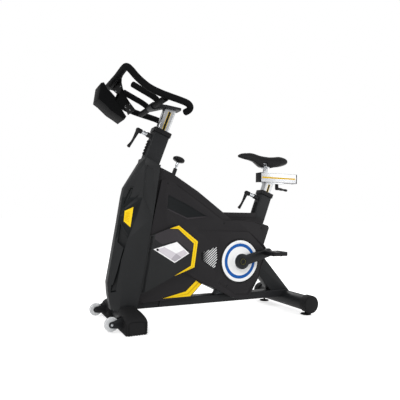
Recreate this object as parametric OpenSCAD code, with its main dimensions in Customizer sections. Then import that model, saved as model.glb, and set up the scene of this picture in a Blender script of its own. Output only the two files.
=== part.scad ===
// Indoor spin bike: welded steel frame, enclosed flywheel, belt drive,
// sliding handlebar and saddle. Front of the bike is -X, rider's left is -Y.

/* [Overall] */
// Length from the front of the holder to the back of the saddle rail
bike_len = 1168; // [1080:4:1404]
// Width across the front boots
stance_w = 466; // [390:2:560]
// Lean of the front post and the seat tube from upright
lean = 20; // [16:0.5:23]

/* [Front post] */
// Height of the front post's collar
post_top_z = 938; // [880:2:1130]
// Depth of the front post, front to back
post_d = 84; // [80:1:101]
// Width of the front post, side to side
post_w = 64; // [60:1:76]
// Depth of the handlebar slider
bar_slide_d = 60; // [50:1:62]
// Width of the handlebar slider
bar_slide_w = 44; // [36:1:48]

/* [Seat tube] */
// Height of the seat tube's collar
seat_top_z = 653; // [620:1:780]
// Depth of the seat tube
seat_tube_d = 70; // [66:1:84]
// Width of the seat tube
seat_tube_w = 60; // [58:1:72]
// Depth of the seat slider
seat_slide_d = 50; // [42:1:54]
// Width of the seat slider
seat_slide_w = 40; // [34:1:44]
// Length of the fore and aft saddle rail
rail_len = 244; // [204:1:292]

/* [Handlebar] */
// Half distance between the outer tubes' centres
grip_half = 205; // [171:1:246]
// Radius of the outer tubes
grip_r = 16; // [13:0.5:19]

/* [Drive] */
// Crank length from spindle to pedal
crank_len = 170; // [150:1:175]
// Height of the crank spindle
crank_z = 283; // [270:1:300]
// Angle of the left crank above the horizontal
crank_angle = 14.7; // [0:0.1:30]
// Radius of the white crank disc
disc_r = 108; // [90:1:112]
// Radius of the drive pulley
drive_r = 96; // [80:1:100]
// Radius of the flywheel's pulley
small_r = 24; // [20:0.5:29]
// Radius of the flywheel
flywheel_r = 170; // [141:1:176]
// Height of the flywheel's axle
flywheel_z = 310; // [300:1:320]

/* [Frame] */
// Width of the base beam
beam_w = 60; // [56:1:72]
// Height of the base beam
beam_h = 39; // [34:1:42]
// Height of the base beam's underside
beam_z = 67; // [67:1:72]
// Radius of the rear stabiliser tube
rear_tube_r = 40; // [34:1:42]
// Radius of the front stabiliser tube
front_tube_r = 30; // [26:1:33]
// Radius of a transport wheel
wheel_r = 31.4; // [26:0.2:36]

/* [Covers] */
// Half width of the side covers
shell_half = 78; // [76:1:84]
// Wall of the plastic covers
shell_wall = 3; // [2.5:0.1:3.6]
// Thickness of the raised side fairings
fairing_t = 18; // [15:0.5:21]

/* [Hidden] */

$fn = 64;
eps = 0.01;
run_gap = 0.3;      // gap between faces that slide past each other
pin_gap = 0.05;     // radial gap of a pin in its bore
seat_gap = 0.4;     // gap between a cover and the frame it fits round
tube_wall = 3;
half_len = bike_len / 2;
x_front = -half_len;
x_rear = half_len;
axis_x = sin(lean);
axis_z = cos(lean);

// base
beam_top = beam_z + beam_h;
front_tube_x = x_front + 152.5;
front_tube_z = beam_z - front_tube_r;
rear_cap_r = rear_tube_r + 6;
rear_tube_x = x_rear - 70;
rear_tube_z = 60;
rear_tube_half = 232;
foot_y = 192.5;
foot_r = 28;
foot_stud_r = 6;
boot_len = 97;
boot_base_h = 35;
boot_in_y = 87;
wheel_x = x_front + 58.4;
wheel_z = wheel_r + 9.6;
wheel_w = 22;
wheel_pin_r = 5;
bracket_y = 171;
bracket_t = 4;

// posts: the local frame of each has its origin on top of the collar
post_top_x = x_front + 332;
post_len = 290;
seat_top_x = x_rear - 207;
collar_h = 22;
collar_lip = 5;
liner_len = 120;
bar_slide_len = 300;
bar_slide_out = 110;
rail_z = seat_top_z + 58;
rail_h = 52;
rail_w = 46;
rail_slot_w = 20;
rail_wall = 3;
rail_x = seat_top_x - 41;
rail_end = rail_x + rail_len;
cap_len = 6;
head_x0 = seat_top_x - 4;
head_x1 = seat_top_x + 111;
head_z0 = rail_z - 8;
clamp_x = seat_top_x + 81;
pin_x = seat_top_x;
tilt_z = rail_z + rail_h + 40;
leg_top = [seat_top_x - 115, 332];
leg_w = 88;
leg_t = 50;

// clamp levers on the posts
lever_drop = 47;
stud_r = 5;
boss_out = 22;
seat_boss_out = 29;
boss_r = 13;
hub_len = 28;
hub_r = 11;
lever_head_len = 32;
lever_head_r = 12;
lever_len = 94;
lever_tip_out = 12;

// drive
crank_x = 169;
arm_y = 95;
arm_t = 16;
crank_boss_r = 34;
arm_end_r = 16;
spindle_r = 10;
bb_r = 25;
bb_bearing_r = 20;
bb_half = 34;
belt_y = 58;
belt_w = 20;
belt_t = 4;
pulley_w = 22;
flywheel_x = -192;
flywheel_t = 24;
rim_w = 40;
axle_r = 8.5;
bearing_w = 8;
plate_t = 6;
idler_r = 15;
pedal_spindle_r = 7;
pedal_w = 97;
pedal_l = 92;
pedal_t = 24;
pedal_in_y = arm_y + arm_t + 7;
belt_dx = crank_x - flywheel_x;
belt_dz = crank_z - flywheel_z;
belt_dist = sqrt(belt_dx * belt_dx + belt_dz * belt_dz);
belt_dir = atan2(belt_dz, belt_dx);
belt_open = asin((drive_r - small_r) / belt_dist);
run_dir = belt_dir - 90 - belt_open;        // outward normal of the lower belt run
idler_at = 0.3;                             // share of the run from the flywheel's pulley
idler_out = belt_t + run_gap * 2 + idler_r;
run_x = flywheel_x + idler_at * belt_dx;
run_z = flywheel_z + idler_at * belt_dz;
run_r = small_r + idler_at * (drive_r - small_r);
idler_x = run_x + (run_r + idler_out) * cos(run_dir);
idler_z = run_z + (run_r + idler_out) * sin(run_dir);

// resistance
knob_x = -155;
knob_z = 802;
knob_r = 31;
rod_r = 5;
rod_len = 300;
bush_r = 10;
rim_top = flywheel_z + flywheel_r;
arm_pivot_x = -342;
arm_pivot_z = rim_top + 34;
magnet_y = flywheel_t / 2 + 3;
web_z = rim_top + 20;

// covers: height, front edge, facet edge and side edge of the front cover
core_half = 62;
rear_half = 40;
strip_half = 22;
facet_half = 60;
side_half = 85;
cover_rows = [
    [72, 90, 122, 196], [100, 84, 123, 201], [150, 74, 126, 210], [200, 70, 131, 220], [400, 102, 150, 250],
    [510, 119, 194, 266], [600, 132, 220, 278], [645, 141, 222, 284], [760, 210, 226, 300],
    [795, 232, 234, 304]];
core_top = [[-280, 751], [-217, 725], [-71, 639], [77, 534], [127, 499], [242, 495], [288, 483]];
rear_outline = [[79, 534.6], [84, 537], [330, 537], [330, 478], [296, 485], [231, 501], [129.5, 501]];
roof_outline = [[-584, 0], [-584, 795], [-350, 795], [-276, 751], [-200, 751], [-200, 0]];
side_outline = [[-241, 693], [-94, 613], [73, 498], [230, 499], [294, 483], [346, 468],
    [352, 455], [319, 367], [344, 336], [286, 187], [234, 101], [211, 87], [142, 91], [31, 144],
    [-60, 191], [-143, 236], [-205, 231], [-357, 160], [-334, 400], [-274, 688]];
core_low = [[288, 190], [234, 104], [138, 104], [-42, 174], [-108, 110]];
fairing_outline = [[-330, 419], [-194, 470], [-83, 387], [-101, 263], [-205, 227], [-374, 147],
    [-373.2, 151], [-363.2, 200], [-348.2, 300], [-333, 401]];
badge_outline = [[-318, 356], [-197, 389], [-131, 332], [-208, 288]];
chevron_outline = [[-236, 453], [-189, 468], [-86, 390], [-103, 263], [-207, 226], [-128, 274],
    [-114, 376], [-193, 447]];
stripe_outline = [[-251, 115], [-131, 141], [-76, 191], [-47, 172], [-108, 116]];
screw_spots = [[73, 479], [303, 456], [95, 157], [-242, 673]];
trim_t = 2.5;

// handlebar, with height and depth measured from the post collar's top
bar_dx = post_top_x + 4;
bar_dz = post_top_z;
cross_x = -56;
cross_z = 117;
stem_x = 48;
stem_z = 114;
stem_tilt = 5;
stem_t = 12;
panel_x = -259;
panel_z = 237;
panel_len = 188;
panel_drop = 57.8;
panel_t = 4;
front_bar_x = -247;
front_bar_z = 227;
aero_half = 75;
aero_r = 14;

// ---- functions ----

function unit(v) = v / norm(v);

// Catmull-Rom curve through the points, with n steps between each two
function knot(p, i) = p[min(max(i, 0), len(p) - 1)];
function curve_at(a, b, c, d, t) = 0.5 * (2 * b + (c - a) * t + (2 * a - 5 * b + 4 * c - d) * t * t
    + (3 * b - a - 3 * c + d) * t * t * t);
function smooth(p, n) = concat([for (i = [0 : len(p) - 2]) for (k = [0 : n - 1])
    curve_at(knot(p, i - 1), p[i], p[i + 1], knot(p, i + 2), k / n)], [p[len(p) - 1]]);

// direction of a path at point i
function heading(p, i) = unit(knot(p, i + 1) - knot(p, i - 1));

// ring of points round point i of a path
function ring(p, i, r, sides, ref) =
    let (t = heading(p, i), u = unit(cross(ref, t)), v = cross(t, u))
    [for (k = [0 : sides - 1]) p[i] + r * (cos(360 * k / sides) * u + sin(360 * k / sides) * v)];

// inner point of a frame section that is moved in by the cover's wall
function cover_row(i, inset) = let (r = cover_rows[i])
    [r[0], x_front + r[1] + inset * 1.2, x_front + r[2] + inset, x_front + r[3]];

// ---- shared shapes ----

// tube along a path, with a closed face at each end
module sweep(path, r, sides, ref) {
    n = len(path);
    points = [for (i = [0 : n - 1]) each ring(path, i, r, sides, ref)];
    faces = concat(
        [[for (k = [0 : sides - 1]) k]],
        [[for (k = [sides - 1 : -1 : 0]) (n - 1) * sides + k]],
        [for (i = [0 : n - 2]) for (k = [0 : sides - 1]) for (tri = [0, 1])
            let (a = i * sides + k, b = i * sides + (k + 1) % sides)
            tri == 0 ? [a, a + sides, b + sides] : [a, b + sides, b]]);
    polyhedron(points, faces);
}

// children in a post's local frame
module lean_at(x, z) translate([x, 0, z]) rotate([0, lean, 0]) children();

// both sides of the bike
module both_sides() {
    children();
    mirror([0, 1, 0]) children();
}

// an X-Z outline between two distances from the middle plane, on the rider's left
module slab(outline, y_in, y_out) translate([0, -y_in, 0]) rotate([90, 0, 0])
    linear_extrude(y_out - y_in) polygon(outline);

// a round bar along Y
module y_bar(x, z, r, y0, y1) translate([x, y0, z]) rotate([-90, 0, 0])
    cylinder(r = r, h = y1 - y0);

// upright box centred in plan
module post_box(d, w, z0, z1) translate([-d / 2, -w / 2, z0]) cube([d, w, z1 - z0]);

// upright box with rounded corners
module round_box(d, w, r, z0, z1) translate([0, 0, z0]) linear_extrude(z1 - z0)
    offset(r = r, $fn = 24) square([d - 2 * r, w - 2 * r], center = true);

module tube_box(d, w, wall, z0, z1) difference() {
    post_box(d, w, z0, z1);
    post_box(d - 2 * wall, w - 2 * wall, z0 - 1, z1 + 1);
}

// ---- base ----

module base_beam() color("dimgray") difference() {
    translate([x_front + 102, -beam_w / 2, beam_z]) cube([rear_tube_x - x_front - 102, beam_w, beam_h]);
    translate([x_front + 101, -beam_w / 2 + tube_wall, beam_z + tube_wall])
        cube([bike_len, beam_w - 2 * tube_wall, beam_h - 2 * tube_wall]);
    y_bar(rear_tube_x, rear_tube_z, rear_tube_r + 0.1, -beam_w, beam_w);
}

module front_stabilizer() color("dimgray") difference() {
    y_bar(front_tube_x, front_tube_z, front_tube_r, -stance_w / 2 + 6, stance_w / 2 - 6);
    y_bar(front_tube_x, front_tube_z, front_tube_r - tube_wall, -stance_w, stance_w);
}

module rear_stabilizer() color("dimgray") difference() {
    union() {
        y_bar(rear_tube_x, rear_tube_z, rear_tube_r, -rear_tube_half, rear_tube_half);
        both_sides() translate([rear_tube_x, foot_y, rear_tube_z - rear_tube_r - 4])
            cylinder(r = 11, h = 16);
    }
    y_bar(rear_tube_x, rear_tube_z, rear_tube_r - tube_wall, -stance_w, stance_w);
    both_sides() translate([rear_tube_x, foot_y, 0])
        cylinder(r = foot_stud_r + pin_gap, h = rear_tube_z);
}

// arched section of a front boot, squarer than an ellipse
function squarer(v) = sign(v) * pow(abs(v), 0.75);
module boot_arch(h) polygon(concat([[-boot_len / 2, 0], [boot_len / 2, 0]],
    [for (a = [0 : 9 : 180]) [boot_len / 2 * squarer(cos(a)),
        boot_base_h + (h - boot_base_h) * squarer(sin(a))]]));

module boot_left() difference() {
    hull() {
        translate([front_tube_x, -stance_w / 2 + 8, 0]) rotate([90, 0, 0])
            linear_extrude(8) boot_arch(84);
        translate([front_tube_x, -boot_in_y, 0]) rotate([90, 0, 0])
            linear_extrude(4) boot_arch(96);
    }
    y_bar(front_tube_x, front_tube_z, front_tube_r + 0.2, -stance_w / 2 + 5, 0);
    wheel_plates(0.2);
}

module front_boots() color("#1c1c1d") both_sides() boot_left();

module rear_caps() color("#1c1c1d") both_sides() difference() {
    union() {
        y_bar(rear_tube_x, rear_tube_z, rear_cap_r, rear_tube_half - 34, rear_tube_half + 6);
        y_bar(rear_tube_x, rear_tube_z, rear_cap_r - 3, rear_tube_half + 6 - eps, rear_tube_half + 9);
    }
    y_bar(rear_tube_x, rear_tube_z, rear_tube_r + 0.2, 0, rear_tube_half + 0.1);
    translate([rear_tube_x, foot_y, 0]) cylinder(r = foot_r + 1.5, h = rear_tube_z - rear_tube_r);
    translate([rear_tube_x, foot_y, 0]) cylinder(r = 11.4, h = rear_tube_z);
}

// the two cheeks that hold a left transport wheel, grown by a gap
module wheel_plates(gap) for (y = [-bracket_y - bracket_t / 2, -bracket_y + wheel_w + 3])
    translate([0, y - gap, 0]) rotate([-90, 0, 0]) linear_extrude(bracket_t + 2 * gap)
        mirror([0, 1]) offset(delta = gap) polygon([
            for (a = [90 : 15 : 270]) [wheel_x + 14 * cos(a), wheel_z + 14 * sin(a)],
            [front_tube_x - 24, front_tube_z - 20], [front_tube_x - 24, front_tube_z + 41]]);

module wheel_bracket_left() {
    difference() {
        wheel_plates(0);
        y_bar(front_tube_x, front_tube_z, front_tube_r, -stance_w, 0);
        y_bar(wheel_x, wheel_z, wheel_pin_r, -stance_w, 0);
    }
    y_bar(wheel_x, wheel_z, wheel_pin_r, -bracket_y - bracket_t / 2 - 3, -bracket_y + wheel_w + 10);
}

module wheel_brackets() color("#1c1c1d") both_sides() wheel_bracket_left();

module transport_wheel(y_in) color("#d9dadb", 0.8) difference() {
    union() {
        y_bar(wheel_x, wheel_z, wheel_r - 3, y_in, y_in + wheel_w);
        y_bar(wheel_x, wheel_z, wheel_r, y_in + 3, y_in + wheel_w - 3);
    }
    y_bar(wheel_x, wheel_z, wheel_pin_r + pin_gap, -stance_w, stance_w);
}

module transport_wheel_left() transport_wheel(-bracket_y + bracket_t / 2 + 0.5);
module transport_wheel_right() mirror([0, 1, 0]) transport_wheel_left();

module levelling_foot() color("#1c1c1d") {
    cylinder(r = foot_r, h = 8);
    translate([0, 0, 8]) cylinder(r = foot_stud_r, h = rear_tube_z - rear_tube_r + 8);
}

module foot_left() translate([rear_tube_x, -foot_y, 0]) levelling_foot();
module foot_right() translate([rear_tube_x, foot_y, 0]) levelling_foot();

// ---- frame ----

upright_top = [post_top_x - (post_len + 6) * axis_x, post_top_z - (post_len + 6) * axis_z];
upright_foot = [x_front + 122, beam_top];
upright_lean = atan2(upright_top[0] - upright_foot[0], upright_top[1] - upright_foot[1]);
upright_len = (upright_top[1] - upright_foot[1]) / cos(upright_lean);

module front_upright() color("dimgray") {
    difference() {
        translate([upright_foot[0], 0, upright_foot[1]]) rotate([0, upright_lean, 0])
            tube_box(36, 56, tube_wall, -20, upright_len);
        translate([x_front, -beam_w, beam_top - 40]) cube([300, 2 * beam_w, 40]);
    }
    lean_at(post_top_x, post_top_z) post_box(post_d, post_w, -post_len - 12, -post_len - 6);
    difference() {
        both_sides() translate([arm_pivot_x - 50, magnet_y + 8, arm_pivot_z - 14]) cube([60, 5, 28]);
        y_bar(arm_pivot_x, arm_pivot_z, stud_r, -60, 60);
    }
    y_bar(arm_pivot_x, arm_pivot_z, stud_r, -magnet_y - 16, magnet_y + 16);
}

// hollow post with a boss and bore for its clamp lever, in its own frame
module clamped_post(d, w, out, z0) {
    difference() {
        union() {
            round_box(d, w, 8, z0, -6);
            translate([-d / 2 - out, 0, -lever_drop]) rotate([0, 90, 0])
                cylinder(r = boss_r, h = out + 6);
        }
        post_box(d - 2 * tube_wall, w - 2 * tube_wall, z0 - 1, 1);
        translate([-d, 0, -lever_drop]) rotate([0, 90, 0])
            cylinder(r = stud_r + pin_gap, h = d);
    }
}

module front_post() color("#2c2e30") lean_at(post_top_x, post_top_z)
    clamped_post(post_d, post_w, boss_out, -post_len - 6);

module seat_tube() color("#2c2e30") difference() {
    lean_at(seat_top_x, seat_top_z) clamped_post(seat_tube_d, seat_tube_w, seat_boss_out, -400);
    translate([leg_top[0] - 200, -60, leg_top[1] - 200]) cube([400, 120, 200]);
}

// collar with a liner that guides a slider
module collar(d, w, slide_d, slide_w) difference() {
    union() {
        round_box(d + 2 * collar_lip, w + 2 * collar_lip, 10, -collar_h, 0);
        post_box(d - 2 * tube_wall, w - 2 * tube_wall, -liner_len, 0);
    }
    difference() {
        round_box(d + 0.2, w + 0.2, 8, -collar_h - 1, -6);
        post_box(d - 2 * tube_wall, w - 2 * tube_wall, -collar_h - 2, 0);
    }
    round_box(slide_d + 2 * run_gap, slide_w + 2 * run_gap, 7, -liner_len - 1, 1);
    translate([-d, 0, -lever_drop]) rotate([0, 90, 0]) cylinder(r = stud_r + pin_gap, h = d);
}

module post_collars() color("#161617") {
    lean_at(post_top_x, post_top_z) collar(post_d, post_w, bar_slide_d, bar_slide_w);
    lean_at(seat_top_x, seat_top_z) collar(seat_tube_d, seat_tube_w, seat_slide_d, seat_slide_w);
}

// ribbed guard strip below a lever
module stop_strip(d) {
    translate([-d / 2 - 5, -9, -150]) cube([5, 18, 78]);
    for (z = [-142 : 16 : -78]) translate([-d / 2 - 9, 0, z]) rotate([0, 90, 0])
        cylinder(r = 5.5, h = 4.5);
}

module stop_strips() color("#161617") {
    lean_at(post_top_x, post_top_z) stop_strip(post_d);
    lean_at(seat_top_x, seat_top_z) stop_strip(seat_tube_d);
}

leg_dx = rear_tube_x - 14 - leg_top[0];
leg_dz = leg_top[1] - rear_tube_z - 8;
leg_lean = atan2(leg_dx, -leg_dz);

module rear_leg() color("#2c2e30") difference() {
    translate([leg_top[0], 0, leg_top[1]]) rotate([0, leg_lean, 0])
        tube_box(leg_w, leg_t, tube_wall, -60, sqrt(leg_dx * leg_dx + leg_dz * leg_dz));
    translate([leg_top[0] - 200, -60, leg_top[1]]) cube([400, 120, 200]);
    translate([x_front, -beam_w, beam_top - 100]) cube([rear_tube_x - x_front, 2 * beam_w, 100]);
    translate([rear_tube_x, -beam_w, rear_tube_z - 100]) cube([200, 2 * beam_w, 100]);
    y_bar(rear_tube_x, rear_tube_z, rear_tube_r + 0.1, -beam_w, beam_w);
}

strut_x = crank_x - 89;
strut_dx = crank_x - strut_x;
strut_dz = crank_z - beam_top;
strut_lean = atan2(strut_dx, strut_dz);
link_dx = leg_top[0] - crank_x;
link_dz = leg_top[1] - 30 - crank_z;

module bottom_bracket() color("dimgray") difference() {
    union() {
        y_bar(crank_x, crank_z, bb_r, -bb_half, bb_half);
        translate([strut_x, 0, beam_top]) rotate([0, strut_lean, 0])
            post_box(36, 44, -30, sqrt(strut_dx * strut_dx + strut_dz * strut_dz));
        difference() {
            translate([crank_x, 0, crank_z]) rotate([0, atan2(link_dx, link_dz), 0])
                post_box(36, 44, 0, 90);
            translate([leg_top[0], 0, leg_top[1]]) rotate([0, leg_lean, 0])
                post_box(leg_w + 0.2, 80, -120, 300);
        }
    }
    y_bar(crank_x, crank_z, bb_bearing_r, -bb_half - 1, bb_half + 1);
    translate([0, -60, beam_top - 60]) cube([300, 120, 60]);
}

// ball bearing ring along Y
module bearing(x, z, r_out, r_in, y0) difference() {
    y_bar(x, z, r_out, y0, y0 + bearing_w);
    y_bar(x, z, r_in + pin_gap, y0 - 1, y0 + bearing_w + 1);
}

module bearings() color("silver") {
    for (y = [-bb_half, bb_half - bearing_w]) bearing(crank_x, crank_z, bb_bearing_r, spindle_r, y);
    for (y = [-beam_w / 2 - plate_t, beam_w / 2 + plate_t - bearing_w])
        bearing(flywheel_x, flywheel_z, 20, axle_r, y);
}

module flywheel_plates() both_sides() difference() {
    union() {
        slab([[flywheel_x - 70, beam_z + 6], [flywheel_x + 70, beam_z + 6],
            [flywheel_x + 26, flywheel_z], [flywheel_x - 26, flywheel_z]],
            beam_w / 2, beam_w / 2 + plate_t);
        y_bar(flywheel_x, flywheel_z, 27, -beam_w / 2 - plate_t, -beam_w / 2 + 2);
    }
    y_bar(flywheel_x, flywheel_z, 20, -60, 60);
}

module idler_arm() {
    difference() {
        translate([0, beam_w / 2 + plate_t + 5, 0]) rotate([90, 0, 0]) linear_extrude(6) hull() {
            translate([flywheel_x + 36, flywheel_z - 70]) circle(r = 11, $fn = 32);
            translate([idler_x, idler_z]) circle(r = 11, $fn = 32);
        }
        y_bar(idler_x, idler_z, stud_r, 0, 90);
    }
    y_bar(idler_x, idler_z, stud_r, beam_w / 2 + plate_t - 1, belt_y + pulley_w / 2 + 3);
}

module flywheel_brackets() color("dimgray") {
    flywheel_plates();
    idler_arm();
}

// ---- drive ----

module flywheel() color("#4a4c50") difference() {
    y_bar(flywheel_x, flywheel_z, flywheel_r, -flywheel_t / 2, flywheel_t / 2);
    for (side = [-1, 1]) translate([0, side * (flywheel_t / 2 + 2), 0]) difference() {
        y_bar(flywheel_x, flywheel_z, flywheel_r - rim_w, -10, 10);
        y_bar(flywheel_x, flywheel_z, 24, -11, 11);
    }
    y_bar(flywheel_x, flywheel_z, axle_r, -60, 60);
}

module flywheel_axle() color("silver") {
    y_bar(flywheel_x, flywheel_z, axle_r, -beam_w / 2 - 12, belt_y + pulley_w / 2 + 3);
    difference() {
        union() {
            y_bar(flywheel_x, flywheel_z, small_r, belt_y - pulley_w / 2, belt_y + pulley_w / 2);
            for (y = [belt_y - pulley_w / 2 - 2, belt_y + pulley_w / 2])
                y_bar(flywheel_x, flywheel_z, small_r + 5, y, y + 2);
        }
        y_bar(flywheel_x, flywheel_z, axle_r, 0, 90);
    }
    for (side = [0, 1]) mirror([0, side, 0]) difference() {
        y_bar(flywheel_x, flywheel_z, 14, flywheel_t / 2 + 1, beam_w / 2 - 4);
        y_bar(flywheel_x, flywheel_z, axle_r, 0, 90);
    }
}

// outline round both pulleys, grown by a distance
module belt_loop(grow) hull() {
    translate([flywheel_x, flywheel_z]) circle(r = small_r + grow, $fn = 48);
    translate([crank_x, crank_z]) circle(r = drive_r + grow, $fn = 96);
}

module drive_belt() color("#141414") translate([0, belt_y + belt_w / 2, 0]) rotate([90, 0, 0])
    linear_extrude(belt_w) difference() {
        belt_loop(run_gap + belt_t);
        belt_loop(run_gap);
    }

module idler_wheel() color("silver") difference() {
    y_bar(idler_x, idler_z, idler_r, belt_y - pulley_w / 2, belt_y + pulley_w / 2);
    y_bar(idler_x, idler_z, stud_r + pin_gap, 0, 90);
}

module crank_spindle() color("silver")
    y_bar(crank_x, crank_z, spindle_r, -arm_y - arm_t + 1, arm_y + arm_t - 1);

module drive_pulley() color("#2a2a2c") difference() {
    union() {
        y_bar(crank_x, crank_z, drive_r, belt_y - pulley_w / 2, belt_y + pulley_w / 2);
        y_bar(crank_x, crank_z, 20, bb_half + 0.8, belt_y + pulley_w / 2);
    }
    for (y = [belt_y - pulley_w / 2 - 1, belt_y + 4]) difference() {
        y_bar(crank_x, crank_z, drive_r - 8, y, y + 8);
        y_bar(crank_x, crank_z, 20, y - 1, y + 9);
    }
    y_bar(crank_x, crank_z, spindle_r, 0, 90);
}

// white disc with a dished middle and a hub that reaches the crank
module disc_covers() color("#eef0f2") both_sides() difference() {
    union() {
        y_bar(crank_x, crank_z, disc_r, shell_half + 1, shell_half + 5);
        y_bar(crank_x, crank_z, crank_boss_r + 2, shell_half + 1, arm_y - 0.2);
    }
    difference() {
        y_bar(crank_x, crank_z, disc_r - 14, shell_half + 3.5, shell_half + 6);
        y_bar(crank_x, crank_z, crank_boss_r + 2, shell_half + 3, shell_half + 7);
    }
    y_bar(crank_x, crank_z, spindle_r, 0, 120);
}

// crank arm in the plane of its own side, pointing along +X before it is turned
module crank_arm() difference() {
    translate([0, arm_y + arm_t, 0]) rotate([90, 0, 0]) linear_extrude(arm_t) {
        circle(r = crank_boss_r);
        hull() {
            translate([20, 0]) circle(r = 24, $fn = 48);
            translate([crank_len, 0]) circle(r = arm_end_r, $fn = 48);
        }
    }
    y_bar(0, 0, spindle_r, 0, 120);
    y_bar(crank_len, 0, pedal_spindle_r, 0, 120);
}

module crank_left() color("#232426") translate([crank_x, 0, crank_z])
    rotate([0, -crank_angle, 0]) mirror([0, 1, 0]) crank_arm();
module crank_right() color("#232426") translate([crank_x, 0, crank_z])
    rotate([0, 180 - crank_angle, 0]) crank_arm();

module crank_caps() color("#3a3a3c") both_sides()
    y_bar(crank_x, crank_z, 21, arm_y + arm_t, arm_y + arm_t + 3);

pedal_dx = crank_len * cos(crank_angle);
pedal_dz = crank_len * sin(crank_angle);

module pedal_spindle(side) {
    x = crank_x - side * pedal_dx;
    z = crank_z - side * pedal_dz;
    mirror([0, side > 0 ? 0 : 1, 0]) {
        y_bar(x, z, pedal_spindle_r, arm_y, pedal_in_y + pedal_w - 6);
        difference() {
            y_bar(x, z, 11, arm_y + arm_t + 0.2, pedal_in_y - 0.6);
            y_bar(x, z, pedal_spindle_r, 0, 300);
        }
    }
}

module pedal_spindles() color("silver") for (side = [-1, 1]) pedal_spindle(side);

// flat platform pedal round its spindle, centred on the spindle in X and Z
module pedal_body() difference() {
    union() {
        y_bar(0, 0, pedal_t / 2, pedal_in_y, pedal_in_y + pedal_w);
        for (s = [-1, 1]) translate([s * (pedal_l / 2 - 6), pedal_in_y, 0])
            translate([-6, 0, -pedal_t / 2 + 2]) cube([12, pedal_w, pedal_t - 4]);
        for (y = [pedal_in_y, pedal_in_y + pedal_w - 12])
            translate([-pedal_l / 2, y, -pedal_t / 2 + 2]) cube([pedal_l, 12, pedal_t - 4]);
    }
    y_bar(0, 0, pedal_spindle_r + pin_gap, 0, pedal_in_y + pedal_w - 5);
}

module pedal_left() color("#1a1a1b") translate([crank_x + pedal_dx, 0, crank_z + pedal_dz])
    mirror([0, 1, 0]) pedal_body();
module pedal_right() color("#1a1a1b") translate([crank_x - pedal_dx, 0, crank_z - pedal_dz])
    pedal_body();

// ---- covers ----

cover_n = len(cover_rows);

// section points of the front cover, clockwise from its right rear corner
function cover_ring(i, inset, back) = let (r = cover_row(i, inset), w = inset) [
    [r[3] + back, side_half - w, r[0]], [r[2], facet_half - w * 0.8, r[0]],
    [r[1], strip_half - w * 0.6, r[0]], [r[1], -strip_half + w * 0.6, r[0]],
    [r[2], -facet_half + w * 0.8, r[0]], [r[3] + back, -side_half + w, r[0]]];

module cover_loft(inset, back, z_grow) {
    n = 6;
    points = [for (i = [0 : cover_n - 1]) each [for (p = cover_ring(i, inset, back))
        [p[0], p[1], p[2] + (i == 0 ? -z_grow : i == cover_n - 1 ? -inset : 0)]]];
    faces = concat(
        [[for (k = [0 : n - 1]) k]],
        [[for (k = [n - 1 : -1 : 0]) (cover_n - 1) * n + k]],
        [for (i = [0 : cover_n - 2]) for (k = [0 : n - 1]) for (tri = [0, 1])
            tri == 0 ? [i * n + k, (i + 1) * n + k, (i + 1) * n + (k + 1) % n]
                : [i * n + k, (i + 1) * n + (k + 1) % n, i * n + (k + 1) % n]]);
    polyhedron(points, faces);
}

// the room that the leaning post needs in the covers
module post_room(x, z, d, w) lean_at(x, z)
    post_box(d + 2 * seat_gap, w + 2 * seat_gap, -post_len - 120, 60);

module front_cover() color("#2e3032") difference() {
    intersection() {
        cover_loft(0, 0, 0);
        slab(roof_outline, -100, 100);
    }
    intersection() {
        cover_loft(shell_wall, 1, 10);
        translate([0, 0, -shell_wall]) slab(roof_outline, -100, 100);
    }
    post_room(post_top_x, post_top_z, post_d, post_w);
}

// front edge of the side covers, just behind the front cover
cover_back = [for (r = cover_rows) if (r[0] > 90 && r[0] < 700) [x_front + r[3] + 0.4, r[0]]];
core_outline = concat(cover_back, core_top, core_low);

module cover_space(outline, y_out) {
    rotate([90, 0, 0]) translate([0, 0, -1]) linear_extrude(y_out - shell_wall + 1)
         offset(delta = -shell_wall) polygon(outline);
}

// opening between a side cover and the front cover, where the flywheel passes
module cover_mouth() {
    n = len(cover_back);
    rotate([90, 0, 0]) translate([0, 0, -1]) linear_extrude(core_half - shell_wall + 1)
        polygon(concat([for (i = [0 : n - 1]) cover_back[i] + [-5, i == 0 ? shell_wall : 0]],
            [for (i = [n - 1 : -1 : 0]) cover_back[i] + [8, i == 0 ? shell_wall : 0]]));
}

module side_cover() difference() {
    union() {
        slab(core_outline, 0.15, core_half);
        slab(side_outline, 0.15, shell_half);
    }
    cover_space(core_outline, core_half);
    cover_space(side_outline, shell_half);
    cover_mouth();
    post_room(post_top_x, post_top_z, post_d, post_w);
    lean_at(seat_top_x, seat_top_z)
        post_box(seat_tube_d + 2 * seat_gap, seat_tube_w + 2 * seat_gap, -400, 0);
    translate([leg_top[0], 0, leg_top[1]]) rotate([0, leg_lean, 0])
        post_box(leg_w + 2 * seat_gap, leg_t + 2 * seat_gap, -60, 300);
    translate([x_front, -beam_w / 2 - seat_gap, beam_z - 10])
        cube([bike_len, beam_w + 2 * seat_gap, beam_h + 10 + seat_gap]);
    translate([flywheel_x - 72, -beam_w / 2 - plate_t - seat_gap, beam_z])
        cube([144, beam_w + 2 * plate_t + 2 * seat_gap, 60]);
    translate([strut_x, 0, beam_top]) rotate([0, strut_lean, 0])
        post_box(36 + 2 * seat_gap, 44 + 2 * seat_gap, -60, 60);
    y_bar(crank_x, crank_z, crank_boss_r - 6, -shell_half - 1, 0);
    lean_at(knob_x, knob_z) cylinder(r = bush_r + 0.2, h = 400, center = true);
}

module shell_left() color("#28292b") side_cover();
module shell_right() color("#28292b") mirror([0, 1, 0]) side_cover();

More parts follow.
